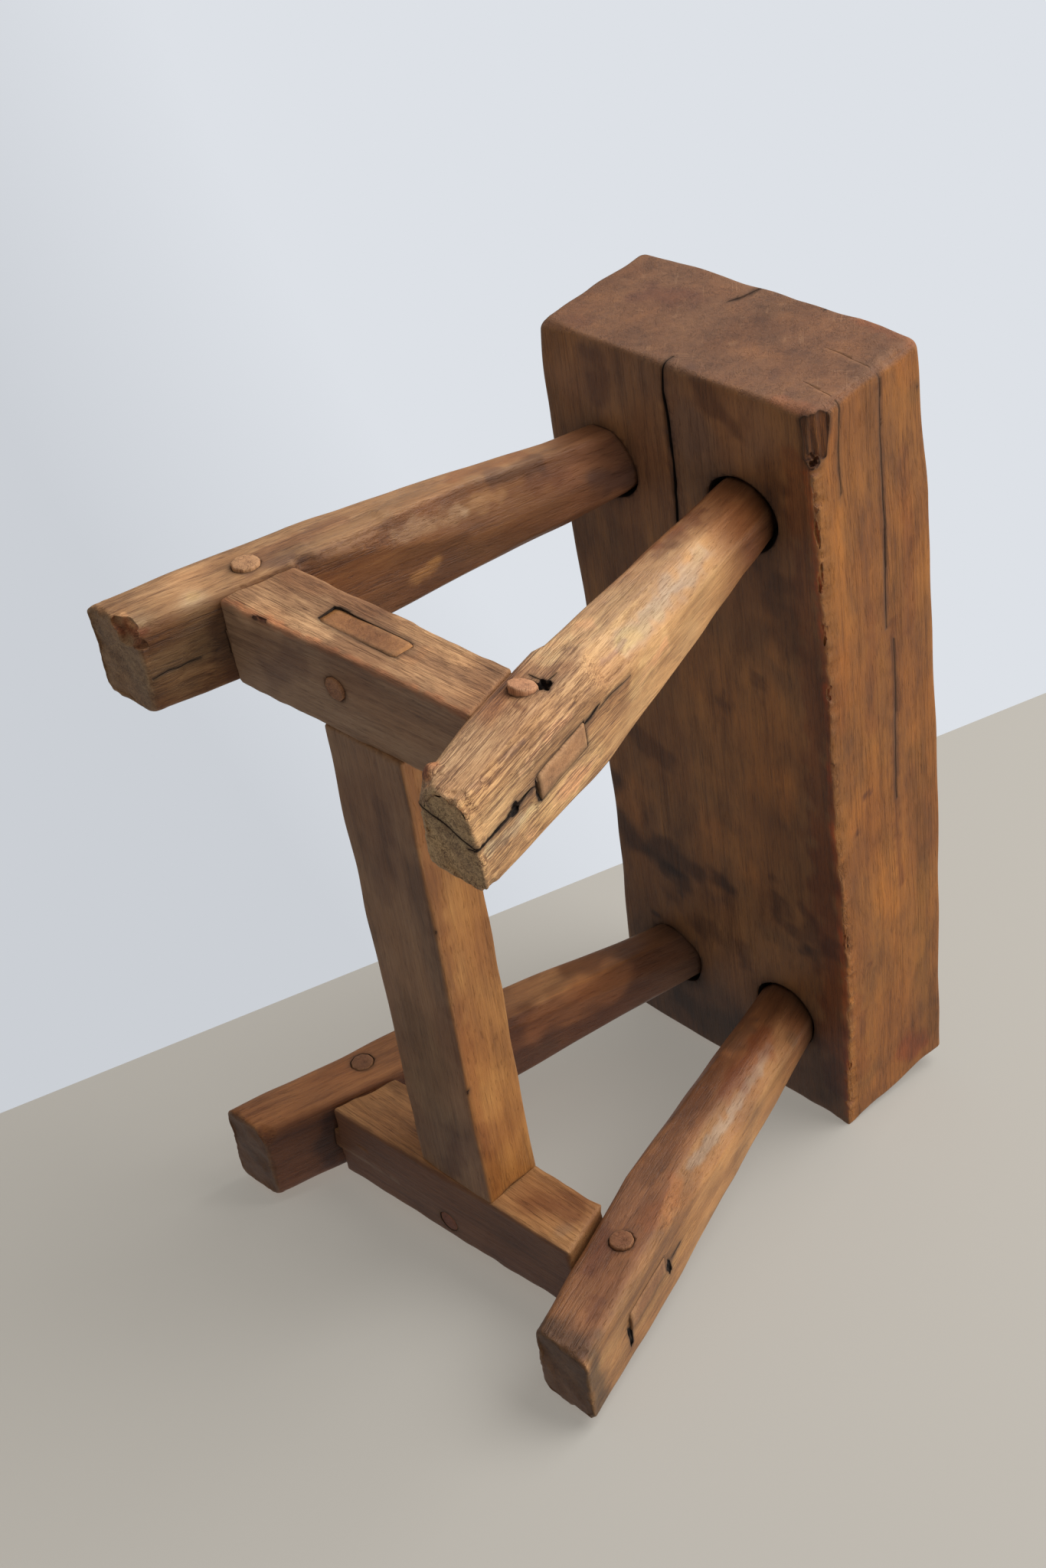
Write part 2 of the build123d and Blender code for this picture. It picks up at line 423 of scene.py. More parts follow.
def stroke(points, route, reach, seed, ragged=0.4):
    """How strongly a brush led along a route touches each point: 1 under it, 0 past its reach."""
    route = np.array(route, float).reshape(-1, 3)
    touch = np.zeros(len(points))
    near = np.all((points > route.min(0) - 2 * reach) & (points < route.max(0) + 2 * reach), axis=1)
    spots = points[near]
    if len(spots) == 0:
        return touch
    shake = np.stack([ripple(spots, 0.7 * reach + 2, seed + k) for k in range(3)], 1)
    spots = spots + ragged * reach * shake
    gap = np.full(len(spots), np.inf)
    for start, end in zip(route, route[1:] if len(route) > 1 else route):
        run = end - start
        share = unit((spots - start) @ run / max(run @ run, 1e-9))
        gap = np.minimum(gap, np.linalg.norm(spots - start - share[:, None] * run, axis=1))
    touch[near] = ease(unit(1.5 - 1.5 * gap / reach))
    return touch


def round_edges(points, half, radius):
    """Pulls the edges of a block of half sizes in to a radius, which may differ by point."""
    radius = np.reshape(radius, (-1, 1)) * np.ones((len(points), 1))
    inner = np.clip(points, radius - half, half - radius)
    out = points - inner
    length = np.maximum(np.linalg.norm(out, axis=1, keepdims=True), 1e-9)
    return inner + out * np.minimum(radius / length, 1)


def bend(value, stations, levels, blur=10.0):
    """A table read at each value, with its corners eased."""
    shifts = (-1, -0.5, 0, 0.5, 1)
    return np.mean([np.interp(value + shift * blur, stations, levels) for shift in shifts], 0)


def make_piece(name, bm, points, material):
    """Gives a bmesh its places in mm and turns it into an object in metres."""
    for vert, point in zip(bm.verts, points):
        vert.co = point
    bmesh.ops.recalc_face_normals(bm, faces=bm.faces)
    if bm.calc_volume(signed=True) < 0:
        bmesh.ops.reverse_faces(bm, faces=bm.faces)
    bmesh.ops.scale(bm, vec=(0.001, 0.001, 0.001), verts=bm.verts)
    mesh = bpy.data.meshes.new(name)
    bm.to_mesh(mesh)
    bm.free()
    mesh.materials.append(material)
    piece = bpy.data.objects.new(name, mesh)
    scene.collection.objects.link(piece)
    return piece


# %% [markdown]
# ## Cuts
#
# Sockets, mortises, splits and chips are real hollows, so each is a closed cutter that is taken
# away with a Boolean modifier. A cutter brings its own material, so the cut faces take it; many
# bring the near-black one, which is painted shade inside the hollow. A split is a thin wedge that
# follows a jagged line: it is a block again, with its cells strung along the line and its width
# and depth running out at both ends.

# %% Helpers for cuts


def carve(piece, cutters, operation="DIFFERENCE"):
    """Cuts or joins other objects into a piece and removes them."""
    for cutter in cutters:
        step = piece.modifiers.new(cutter.name, "BOOLEAN")
        step.object = cutter
        step.operation = operation
        step.solver = "MANIFOLD"
        step.material_mode = "TRANSFER"
    shaped = bpy.data.meshes.new_from_object(
        piece.evaluated_get(bpy.context.evaluated_depsgraph_get()))
    plain = piece.data
    piece.modifiers.clear()
    shaped.name = piece.name
    piece.data = shaped
    for mesh in (plain, *(cutter.data for cutter in cutters)):
        bpy.data.meshes.remove(mesh)


def split_line(name, route, width, depth, inward, seed, above=3.0, sway=0.3, material=recess_shade_wood):
    """A jagged wedge along a route on a surface. Inward points into the wood. Unless another
    material is given, its walls take the near-black painted shade.
    """
    route = np.array(route, float)
    inward = np.array(inward, float) / np.linalg.norm(inward)
    runs = np.concatenate([[0], np.cumsum(np.linalg.norm(np.diff(route, axis=0), axis=1))])
    bm = grid_block((max(8, int(runs[-1] / 3.0)), 1, 2))
    along, across, level = points_of(bm).T
    share = (along + 1) / 2
    run = share * runs[-1]
    spot = np.stack([np.interp(run, runs, route[:, k]) for k in range(3)], 1)
    ahead = (route[-1] - route[0]) / np.linalg.norm(route[-1] - route[0])
    aside = np.cross(inward, ahead)
    taper = unit(np.sin(np.pi * np.clip(share, 0.001, 0.999)) * 1.6) ** 0.8
    jag = ripple(columns(run, across * 40, 0), 7, seed)
    wander = ripple(columns(run, 0, 0), 11, seed + 3)
    wide = width / 2 * taper * (1 + 0.45 * jag) + 0.04
    wide = wide * np.where(level < -0.5, 0.15, 1.0)
    sunk = np.where(level < -0.5, depth * (0.25 + 0.75 * taper), 0.0)
    sunk = np.where(level > 0.5, -above, sunk)
    places = spot + aside * (across * wide + sway * wander)[:, None] + inward * sunk[:, None]
    return make_piece(name, bm, places, material)


def on_surface(piece, route, inward):
    """Moves each stop of a route onto a piece along the inward direction, where it meets it."""
    mesh = piece.data
    tree = BVHTree.FromPolygons([v.co for v in mesh.vertices], [f.vertices for f in mesh.polygons])
    ahead = Vector(inward).normalized()
    hits = [tree.ray_cast(Vector(stop) / 1000 - 0.02 * ahead, ahead, 0.04)[0] for stop in route]
    return [1000 * hit if hit else Vector(stop) for stop, hit in zip(route, hits)]


def facet(name, middle, half, lean, seed):
    """A rough block, turned about x by an angle, that pares a flat facet off an edge."""
    bm = grid_block((24, 8, 26))
    along, across, rise = (points_of(bm) * half).T
    points = np.array(middle) + columns(along, across * np.cos(lean) - rise * np.sin(lean),
                                        across * np.sin(lean) + rise * np.cos(lean))
    points[:, 0] += 2.2 * ripple(points, 5, seed)
    grooves = 0.9 * ripple(points, 5, seed + 1, (4, 1, 1))
    grooves += 0.8 * ripple(points, 2.2, seed + 2, (9, 1, 1))
    points[:, 1] += grooves * np.cos(lean)
    points[:, 2] += grooves * np.sin(lean)
    return make_piece(name, bm, points, torn_wood)


def lump(name, centre, size, seed, rough=0.25, material=torn_wood):
    """A knobbly ball that bites a chip or a broken hole out of the wood."""
    bm = bmesh.new()
    bmesh.ops.create_icosphere(bm, subdivisions=4, radius=1)
    ball = points_of(bm)
    swell = 1 + rough * ripple(ball * 10, 6, seed)
    return make_piece(name, bm, np.array(centre) + ball * swell[:, None] * np.array(size), material)


# %% [markdown]
# ## Paint
#
# Hands and feet rub the edges of a stool pale, and dirt settles where a cloth can't reach. Both
# follow the shape, so they are measured on the finished mesh. An edge is where neighbouring
# points fall behind a point's own face, and dirt gathers around the lips of the cuts. Each piece
# adds its broad colours as a tint, which also carries painted highlights and painted shade, and
# its grain coordinates, which follow the timber it is; the seat and the legs add dirt and painted
# shade of their own.

# %% Helpers for paint
along_x = ((1, 0, 0), (0, 1, 0), (0, 0, 1))
along_y = ((0, 1, 0), (1, 0, 0), (0, 0, 1))
along_z = ((0, 0, 1), (0, 1, 0), (1, 0, 0))


def read(layer, field, width):
    values = np.empty(len(layer) * width)
    layer.foreach_get(field, values)
    return values.reshape(-1, width)


def store(mesh, name, kind, field, values):
    attribute = mesh.attributes.new(name, kind, "POINT")
    attribute.data.foreach_set(field, np.ascontiguousarray(values, dtype=np.float32).ravel())


def edge_wear(mesh, points, normals):
    """How far each point stands out from its neighbours, from 0 to 1."""
    pairs = np.empty(len(mesh.edges) * 2, dtype=np.int32)
    mesh.edges.foreach_get("vertices", pairs)
    first, second = pairs.reshape(-1, 2).T
    run = points[second] - points[first]
    length = np.maximum(np.linalg.norm(run, axis=1), 1e-6)

    def gathered(to_first, to_second):
        total = np.zeros(len(points))
        np.add.at(total, first, to_first)
        np.add.at(total, second, to_second)
        return total

    count = np.maximum(gathered(1, 1), 1)
    bulge = gathered(-(normals[first] * run).sum(1) / length,
                     (normals[second] * run).sum(1) / length) / count
    for _ in range(2):
        bulge = 0.5 * bulge + 0.5 * gathered(bulge[second], bulge[first]) / count
    return unit(bulge * 6 - 0.1)


def lip_grime(mesh, points):
    """Dirt around the lips of the cuts, fading out within a few mm."""
    wood_faces, cut_faces = set(), set()
    for face in mesh.polygons:
        (cut_faces if face.material_index else wood_faces).update(face.vertices)
    lips = sorted(wood_faces & cut_faces)
    if not lips:
        return np.zeros(len(points))
    tree = kdtree.KDTree(len(lips))
    for index in lips:
        tree.insert(points[index], index)
    tree.balance()
    return 0.75 * np.exp(-np.array([tree.find(point)[2] for point in points]))


def wash(colour, points, washes, seed, axes=(0, 1, 2)):
    """Lays thin washes of colour over a tint. Each is a multiplier, a reach and a route."""
    missing = ((0, 0), (0, 3 - len(axes)))
    spots = np.pad(points[:, axes], missing)
    for index, (multiplier, reach, route) in enumerate(washes):
        share = stroke(spots, np.pad(np.array(route, float), missing), reach, seed + index)[:, None]
        colour = colour * (1 + share * (np.array(multiplier) - 1))
    return colour


def facing(normals, axis, sign):
    """How squarely each point faces along an axis, or either way along it where sign is 0."""
    level = np.abs(normals[:, axis]) if sign == 0 else sign * normals[:, axis]
    return unit(level * 2 - 0.6)


def blend_colours(base, other, share):
    """Fades one multiplier colour into another by a share at each point."""
    share = unit(share)[:, None]
    return base * (1 - share) + np.array(other) * share


def paint(piece, grain_axes, grain_centre, tint, dry, dirt_and_shade=0.0, sawn=0.0):
    """Stores what the wood recipe reads. Dry, dirt and painted shade, and sawn are each a function
    or a number.
    """
    mesh = piece.data
    mesh.shade_smooth()
    points = 1000 * read(mesh.vertices, "co", 3)
    normals = read(mesh.vertex_normals, "vector", 3)

    def level(source):
        return source(points, normals) if callable(source) else np.full(len(points), source)

    grain = (points - np.array(grain_centre)) @ np.array(grain_axes).T
    store(mesh, "grain", "FLOAT_VECTOR", "vector", grain)
    colours = np.ones((len(points), 4))
    colours[:, :3] = np.clip(tint(points, normals), 0, 2)
    store(mesh, "tint", "FLOAT_COLOR", "color", colours)
    grime_and_shade = np.maximum(lip_grime(mesh, points), level(dirt_and_shade))
    for name, values in (("wear", edge_wear(mesh, points, normals)), ("grime_and_shade", grime_and_shade),
                         ("dry", level(dry)), ("sawn", level(sawn))):
        store(mesh, name, "FLOAT", "value", unit(values))
    print(piece.name, "has", len(mesh.polygons), "faces")


# %% [markdown]
# ## The legs' sizes
#
# A leg is square and thick at the foot, and above the rail it tapers while its corners are
# cut back, until it is a round tenon in the seat. So its sizes are the places of its four faces
# at the floor and at the knee, and the round neck. One leg's foot is cut askew, and one has an
# extra facet. Hewn legs also have swellings and hollows, which are kept as strokes of a brush.
# Where the legs meet the seat is read from the plain seat in the frame.

# %% List the legs


def plain_box(node):
    """The lowest and highest corner of a plain solid, in mm."""
    return [[round(1000 * place, 1) for place in corner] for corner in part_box(node)]


seat_low, seat_high = plain_box("seat")
seat_bottom, seat_top = seat_low[2], seat_high[2]
print("the plain seat's corners in mm:", seat_low, seat_high)
knee_height = 110.0
leg_top = 330.0  # the top of a leg's tenon, inside the seat
tenon_radius = 19.2
skew_top = 130.0  # a foot that is cut askew is square again from here up
legs = {
    # faces at the floor and at the knee: low x, high x, low y, high y; then the round neck;
    # skew is how askew the foot is cut, crumble how rough it is; cuts are a corner's heights and
    # depths; facets are angles with their heights and distances; swells say how far out a
    # swelling stands or how deep a hollow is, how broad it is, and where
    "front_left": dict(
        foot=(168, 221, 97, 138.5), knee=(159.5, 217.7, 68.5, 110), neck=(182, 42, 20.0),
        skew=0.13, crumble=0.7,
        cuts={0: ((0, 50, 108, 120), (4, 8, 7, 11)),
            3: ((0, 15, 40, 104, 112), (9, 4, 2, 1.5, 4))},
        swells=[(4.5, 6.5, [(219, 97, 8)]),
            (-1.4, 5, [(184, 124, 44), (185, 128, 27), (189, 132, 8)]),
            (-0.8, 4, [(220, 123, 40), (220, 124, 22)]), (-1.2, 5, [(222, 122, 2), (216, 133, 2)]),
            (-1.5, 4, [(170, 136, 4)]), (-1.0, 12, [(206, 96, 150), (203, 82, 185)])]),
    "front_right": dict(
        foot=(163, 220, -147, -104.5), knee=(160, 217.7, -117, -76), neck=(183, -52, 20.5),
        cuts={0: ((0, 45, 86, 91, 107, 122, 155, 185), (4, 2.5, 2, 4.5, 4.0, 5.0, 6.5, 7.5))},
        facets=[(58, (112, 120, 128, 147, 171, 190, 211, 271, 296),
                (60, 34, 27.8, 24.2, 20.7, 18.5, 18.0, 17.9, 20))],
        swells=[(2.6, 6, [(220, -80, 91), (219, -78, 99)]),
            (-1.4, 9, [(190, -98, 30), (176, -100, 24)]),
            (-1.2, 8, [(217, -88, 112), (214, -84, 140)]),
            (-0.9, 10, [(190, -66, 150), (184, -60, 176)])]),
    "back_left": dict(
        foot=(-215, -161, 107, 148), knee=(-215, -159, 75, 115), neck=(-189, 44, 20.5),
        cuts={0: ((0, 45, 96, 106, 130, 170), (4, 3, 4, 6, 9, 11))},
        swells=[(-0.8, 7, [(-190, 112, 122), (-187, 134, 40)]), (-1.2, 5, [(-160, 140, 2)])]),
    "back_right": dict(
        foot=(-215, -157, -154.5, -117), knee=(-215, -159, -121, -82), neck=(-186, -44, 20.0),
        swells=[(-2.5, 7, [(-158, -116, 1)])]),
}
print("legs:", list(legs))

# %% [markdown]
# ## Shaping a leg
#
# A leg is one block whose every row is fitted to an outline of eight flat sides, four faces and
# four corner cuts, and any extra facet. The corner cuts start outside the square and move in up
# the leg. A high power joins the sides crisply and a low one rounds them.

# %% Shape the legs


def leg_faces(leg, height):
    """The four faces of a leg at each height, as low x, high x, low y, high y."""
    x, y, radius = leg["neck"]
    neck = np.array((x - radius, x + radius, y - radius, y + radius))
    neck_height = seat_bottom + 8
    lean = (neck - leg["knee"]).reshape(2, 2).mean(1) / (neck_height - knee_height)
    past_neck = np.maximum(height - neck_height, 0)
    return [np.interp(height, (0, knee_height, neck_height), three) + past_neck * lean[k // 2]
            for k, three in enumerate(zip(leg["foot"], leg["knee"], neck))]


def leg_axis(leg, height):
    low_x, high_x, low_y, high_y = leg_faces(leg, height)
    return (low_x + high_x) / 2, (low_y + high_y) / 2


def outline_radius(turn, sides, power):
    """Distance from the centre to an outline of flat sides, each an angle and a distance."""
    total = 0
    for angle, distance in sides:
        total = total + (np.maximum(np.cos(turn - angle), 0) / distance) ** power
    return total ** (-1 / power)


def leg_outline(leg, height, turn, half_x, half_y):
    """How far a leg's side stands from its axis."""
    sides = [(0, half_x), (np.pi / 2, half_y), (np.pi, half_x), (-np.pi / 2, half_y)]
    corner = (half_x + half_y) / np.sqrt(2)
    neck_cut = (1 - np.sqrt(0.5)) * np.sqrt(2) * leg["neck"][2]
    for k in range(4):
        heights, depths = leg.get("cuts", {}).get(k, ((0, 45, knee_height), (3.5, 2.5, 1.5)))
        depth = np.interp(height, (*heights, seat_bottom), (*depths, neck_cut))
        sides.append((np.pi / 4 + k * np.pi / 2, corner - depth))
    for degrees, heights, distances in leg.get("facets", []):
        sides.append((np.radians(degrees), np.interp(height, heights, distances)))
    power = np.interp(height, (0, 60, knee_height + 60, seat_bottom), (26, 34, 56, 20))
    return np.where(height > seat_bottom + 4, tenon_radius, outline_radius(turn, sides, power))


def leg_block(name, leg, seed):
    """A leg with its knee, facets and neck, before its mortise and splits."""
    bm = grid_block((34, 28, 230))
    block = points_of(bm)
    # rows are closest near the foot and widest in the hidden tenon
    height = np.interp(block[:, 2], (-1, -0.80, 0.84, 1), (0, 12, seat_bottom, leg_top))
    low_x, high_x, low_y, high_y = leg_faces(leg, height)
    centre_x, centre_y = leg_axis(leg, height)
    half_x, half_y = (high_x - low_x) / 2, (high_y - low_y) / 2
    flat = crowd(block[:, :2], 0.35)
    turn = np.arctan2(flat[:, 1] * half_y, flat[:, 0] * half_x)
    share = np.max(np.abs(flat), axis=1)
    radius = leg_outline(leg, height, turn, half_x, half_y)
    around = ring_points(turn, 20)
    rim = 2.2 + 1.3 * ripple(around, 9, seed) + 1.6 * np.abs(ripple(around, 3.5, seed))
    rim = np.clip(rim, 0.8, 7)
    radius = radius - rim * (1 - np.sqrt(1 - unit(1 - height / rim) ** 2))
    points = ring_points(turn, radius) * share[:, None] + columns(centre_x, centre_y, height)
    past_middle = unit((points[:, 1] - centre_y) / half_y) * unit(1 - height / skew_top)
    points[:, 1] -= leg.get("skew", 0) * np.maximum(points[:, 0] - low_x, 0) * past_middle
    swell = 0.9 * ripple(points, 38, seed, (1, 1, 2.5))
    swell += 0.35 * ripple(points, 11, seed + 1, (1, 1, 3))
    crumble = leg.get("crumble", 0.25) * ripple(points, 3.2, seed + 4)
    swell += crumble * unit(1.2 - height / 12)
    for index, (rise, reach, route) in enumerate(leg["swells"]):
        swell += rise * stroke(points, route, reach * 1.4, seed + index, 0.15)
    outside = (share > 0.99)[:, None]
    hewn = unit((seat_bottom - height) / 30)
    points += ring_points(turn, 1) * outside * (hewn * (swell - 0.5))[:, None]
    sole = (height < 0.01) & (share < 0.99)
    points[:, 2] += sole * np.clip(0.9 * ripple(points, 12, seed + 2) + 0.4, 0, 2)
    return make_piece(name, bm, points, leg_wood)


pieces = {f"{name}_leg": leg_block(f"{name}_leg_worn", leg, seed + 11)
          for seed, (name, leg) in enumerate(legs.items())}
print("made", len(pieces), "legs")

# %% [markdown]
# ## Seat
#
# The seat is one hewn beam with a slight bow. Its long edges wander, and one has been split
# away in places, so they are read from small tables of offsets along the beam. Its far end is
# cut a little askew. Its length and thickness are those of the plain seat.

# %% Hew the beam
seat_middle = (seat_top + seat_bottom) / 2
skin = 0.1  # how far the worn seat stays inside the plain one
long_half, wide_half, thick_half = seat_high[0], 96.0, (seat_top - seat_bottom) / 2
half = np.array([long_half, wide_half, thick_half])
bm = grid_block((280, 76, 38))
box = crowd(points_of(bm)) * half
front = unit(box[:, 0] / long_half) ** 12
rounding = 3.6 + 1.8 * ripple(box, 22, 1, (2, 1, 1))
rounding += 5.0 * front * unit(np.abs(box[:, 1]) / wide_half * 4 - 3)
splintered = unit(box[:, 1] / 24 - 3) * unit(-box[:, 2] / 12 - 2.8) * (1 - front)
rounding += splintered * (1.0 + 2.4 * np.abs(ripple(box, 5, 2, (1.6, 1, 1))) - rounding)
seat_points = round_edges(box, half, np.clip(rounding, 0.8, 14))
x, y, z = seat_points.T
lower = (1 - z / thick_half) / 2
stations = (-260, -125, 0, 88, 184, 260)
far_low = bend(x, stations, (-93.8, -85.5, -85.5, -88.3, -96.2, -95.2))
far_high = bend(x, stations, (-94, -90, -90, -92, -97, -99.0))
near_low = bend(x, (-260, -209, -142, -103, -60, -21, 63, 110, 206, 224, 260),
                (93.0, 96.0, 98.5, 99.5, 98.0, 97.0, 98.5, 98.5, 97.0, 96.0, 98.8), 6)
near_high = bend(x, (-260, -125, 10, 176, 183, 260), (95, 98.5, 99.5, 98.5, 97, 95.2))
jagged = 1.9 * ripple(columns(x, 0, 0), 10, 19) + 1.6 * ripple(columns(x, 0, 0), 3.6, 20)
lobes = np.interp(x, (-190, -177, -166, -158, -147, -137, -129, -119, -108, -76, -63, -50, -43,
                      -36, -28), (0, 1.6, 0, 0, 2.0, 0, 0, 2.2, 0, 0, 2.4, 0.4, 0, 1.4, 0))
far_side = lower * far_low + (1 - lower) * far_high
near_side = lower * near_low + (1 - lower) * near_high
seat_points[:, 1] = (far_side + near_side) / 2 + y / wide_half * (near_side - far_side) / 2
near_the_edge = unit(-z / 8 - 4.6) * (y > 0)
seat_points[:, 1] += (lobes - np.abs(jagged)) * near_the_edge
askew = np.where(x < 0, (256.4 + 0.038 * y) / long_half, 1)
seat_points[:, 0] = np.clip(x * askew, skin - long_half, long_half - skin)
seat_points[:, 2] += seat_middle
broad = ripple(seat_points, 70, 3, (2, 1, 1))
fine = ripple(seat_points, 16, 4, (4, 1, 1))
seat_points[:, 1] += 0.5 * broad + 0.25 * fine
seat_points[:, 2] -= 0.6 * np.abs(broad) + 0.2 * np.abs(fine)
seat_points[:, 2] = np.minimum(seat_points[:, 2], seat_top - skin)
seat = make_piece("seat_worn", bm, seat_points, seat_wood)
print("the beam has", len(seat_points), "points")

# %% [markdown]
# ## Sockets and splits in the beam
#
# Each leg stands in a socket with a ragged, flared mouth whose walls are painted near-black as
# shade, so it shows as a dark ring. One long split runs up the middle of the underside, finer ones
# run along the side and over the end, and the lower edge has lost chips. All are cutters, because
# their depth shows when the light moves.

# %% Bore the sockets and open the splits


def socket(name, leg, centre, mouth, seed):
    """A cutter along a leg: a ragged flared mouth that runs into a snug socket, lined with
    near-black painted shade.
    """
    bm = grid_rod(72, 24)
    rod = points_of(bm)
    rise = np.interp(rod[:, 2], (-1, -0.2, 1), (-12, 0, 52))
    turn = np.arctan2(rod[:, 1], rod[:, 0])
    size = np.interp(rise, (-12, 0, 13, 18), (mouth + 2, mouth, 19.6, 19.35))
    flare = unit(1 - rise / 14)
    size = size * (1 + 0.05 * ripple(ring_points(turn, 10, rise / 3), 7, seed) * flare)
    keep = np.hypot(rod[:, 0], rod[:, 1])
    places = rod / np.maximum(keep, 1e-9)[:, None] * size[:, None] * keep[:, None]
    mouth_axis = leg_axis(leg, seat_bottom)
    for k, along in enumerate(leg_axis(leg, seat_bottom + rise)):
        places[:, k] += along + flare * (centre[k] - mouth_axis[k])
    places[:, 2] = seat_bottom + rise
    return make_piece(name, bm, places, recess_shade_wood)


mouths = {
    # the centre of each socket's mouth, and its radius
    "front_left": ((183, 45), 23.6), "front_right": ((182, -52.5), 22.0),
    "back_left": ((-187, 46), 23.0), "back_right": ((-186, -44), 21.6),
}
seat_cuts = [socket(f"{name}_socket", legs[name], centre, mouth, seed)
             for seed, (name, (centre, mouth)) in enumerate(mouths.items())]
up, down = (0, 0, 1), (0, 0, -1)
inward_side, inward_far_side = (0, -1, 0), (0, 1, 0)
inward_end, inward_far_end = (-1, 0, 0), (1, 0, 0)
seat_cuts += [
    split_line("underside_split", [(268, -1.5, 288), (244, -3.3, 288), (213, -1.6, 288),
        (194, -1.1, 288), (162, -3.2, 288), (135, -4, 288)], 1.7, 16, up, 5),
    split_line("side_split", [(268, 97, 341), (251, 98, 343), (225, 98, 342.5), (188, 98, 341.5),
        (158, 99, 340.3), (125, 99, 338.6), (100, 99, 338)], 0.5, 4, inward_side, 6,
        material=torn_wood),
    split_line("side_split_low", [(104, 99, 343.5), (54, 99, 343.5), (31, 99, 342), (7, 99, 341),
        (-17, 99, 340.4), (-43, 99, 340)], 0.25, 1.0, inward_side, 30, material=torn_wood),
    split_line("fine_split", [(268, 97, 309.5), (238, 98, 308), (200, 98, 307.5)], 0.2, 3,
        inward_side, 7, material=torn_wood),
    split_line("end_split_top", [(260, -9, 387), (260, -10, 378), (260, -12, 366),
        (260, -16, 356)], 1.5, 1.8, inward_end, 8, material=torn_wood),
    split_line("end_split_side", [(260, 104, 341), (260, 90, 341), (260, 72, 344), (260, 60, 345)],
        0.25, 0.8, inward_end, 9, material=seat_wood),
    split_line("end_split_low", [(260, 104, 308), (260, 89.5, 308.6), (260, 79, 311),
        (260, 72, 312)], 0.22, 0.7, inward_end, 10, material=seat_wood),
    split_line("back_split", [(-256, -30, 296), (-256, -22, 318), (-256, -26, 344)], 0.9, 6,
        inward_far_end, 25),
    facet("corner_chip", (251, 99.0, 290.4), (19, 6, 10), -0.6, 14),
    lump("corner_chip_end", (231.5, 95.5, 289.5), (4.2, 4.0, 4.2), 15, 0.45),
    lump("top_notch", (233, 99.5, 377), (5, 3.2, 3.5), 16, 0.3),
    lump("side_hole", (-235, 98.3, 351), (5, 3, 4.2), 17, 0.35),
    split_line("top_split", [(268, 34, 380), (238, 36, 380), (204, 33, 380), (168, 36, 380)], 0.9,
        7, down, 26),
    split_line("top_split_low", [(-264, -40, 380), (-228, -37, 380), (-190, -41, 380)], 0.8, 6,
        down, 27),
    split_line("far_side_split", [(-262, -95, 346), (-214, -93, 349), (-150, -91, 345),
        (-92, -89, 347)], 0.7, 5, inward_far_side, 28, 6),
    split_line("far_side_fine", [(268, -98, 322), (212, -97, 324), (150, -93, 321)], 0.5, 4,
        inward_far_side, 29, 6),
]
# shallow bites out of the splintered edge between the underside and the golden side
edge_chips = (231, 209, 189, 158, 127, 84, 30, -14, -96, -206, -238)
for seed, along in enumerate(edge_chips):
    edge = np.interp(along, (-260, -103, 63, 206, 260), (94.5, 99.0, 98.0, 96.5, 97.5))
    seat_cuts.append(lump(f"edge_chip_{seed}", (along, edge + 0.3, seat_bottom - 0.8),
                          (8, 2.4, 2.6), 100 + seed, 0.5, seat_wood))
for seed, spot in enumerate([(120, -92.5, 381), (-60, -89, 381.5), (-252, 60, 381),
                             (40, 100, 381.2)]):
    seat_cuts.append(lump(f"top_nick_{seed}", spot, (7, 2.6, 2.8), 130 + seed, 0.5, seat_wood))
carve(seat, seat_cuts)
print("the beam has", len(seat_cuts), "cuts")

# %% [markdown]
# ## Colours of the beam
#
# The underside is dark brown with sooty clouds, the side by the bow is golden, and the sawn end
# is a dull red brown. A point's face is known from its normal, so the tint mixes by the normal,
# and noise moves the borders of the clouds. A few marks sit where the real beam has them. Painted
# shade darkens the underside's low end and runs softly along the side's splits, and painted light
# brightens the underside's high end.

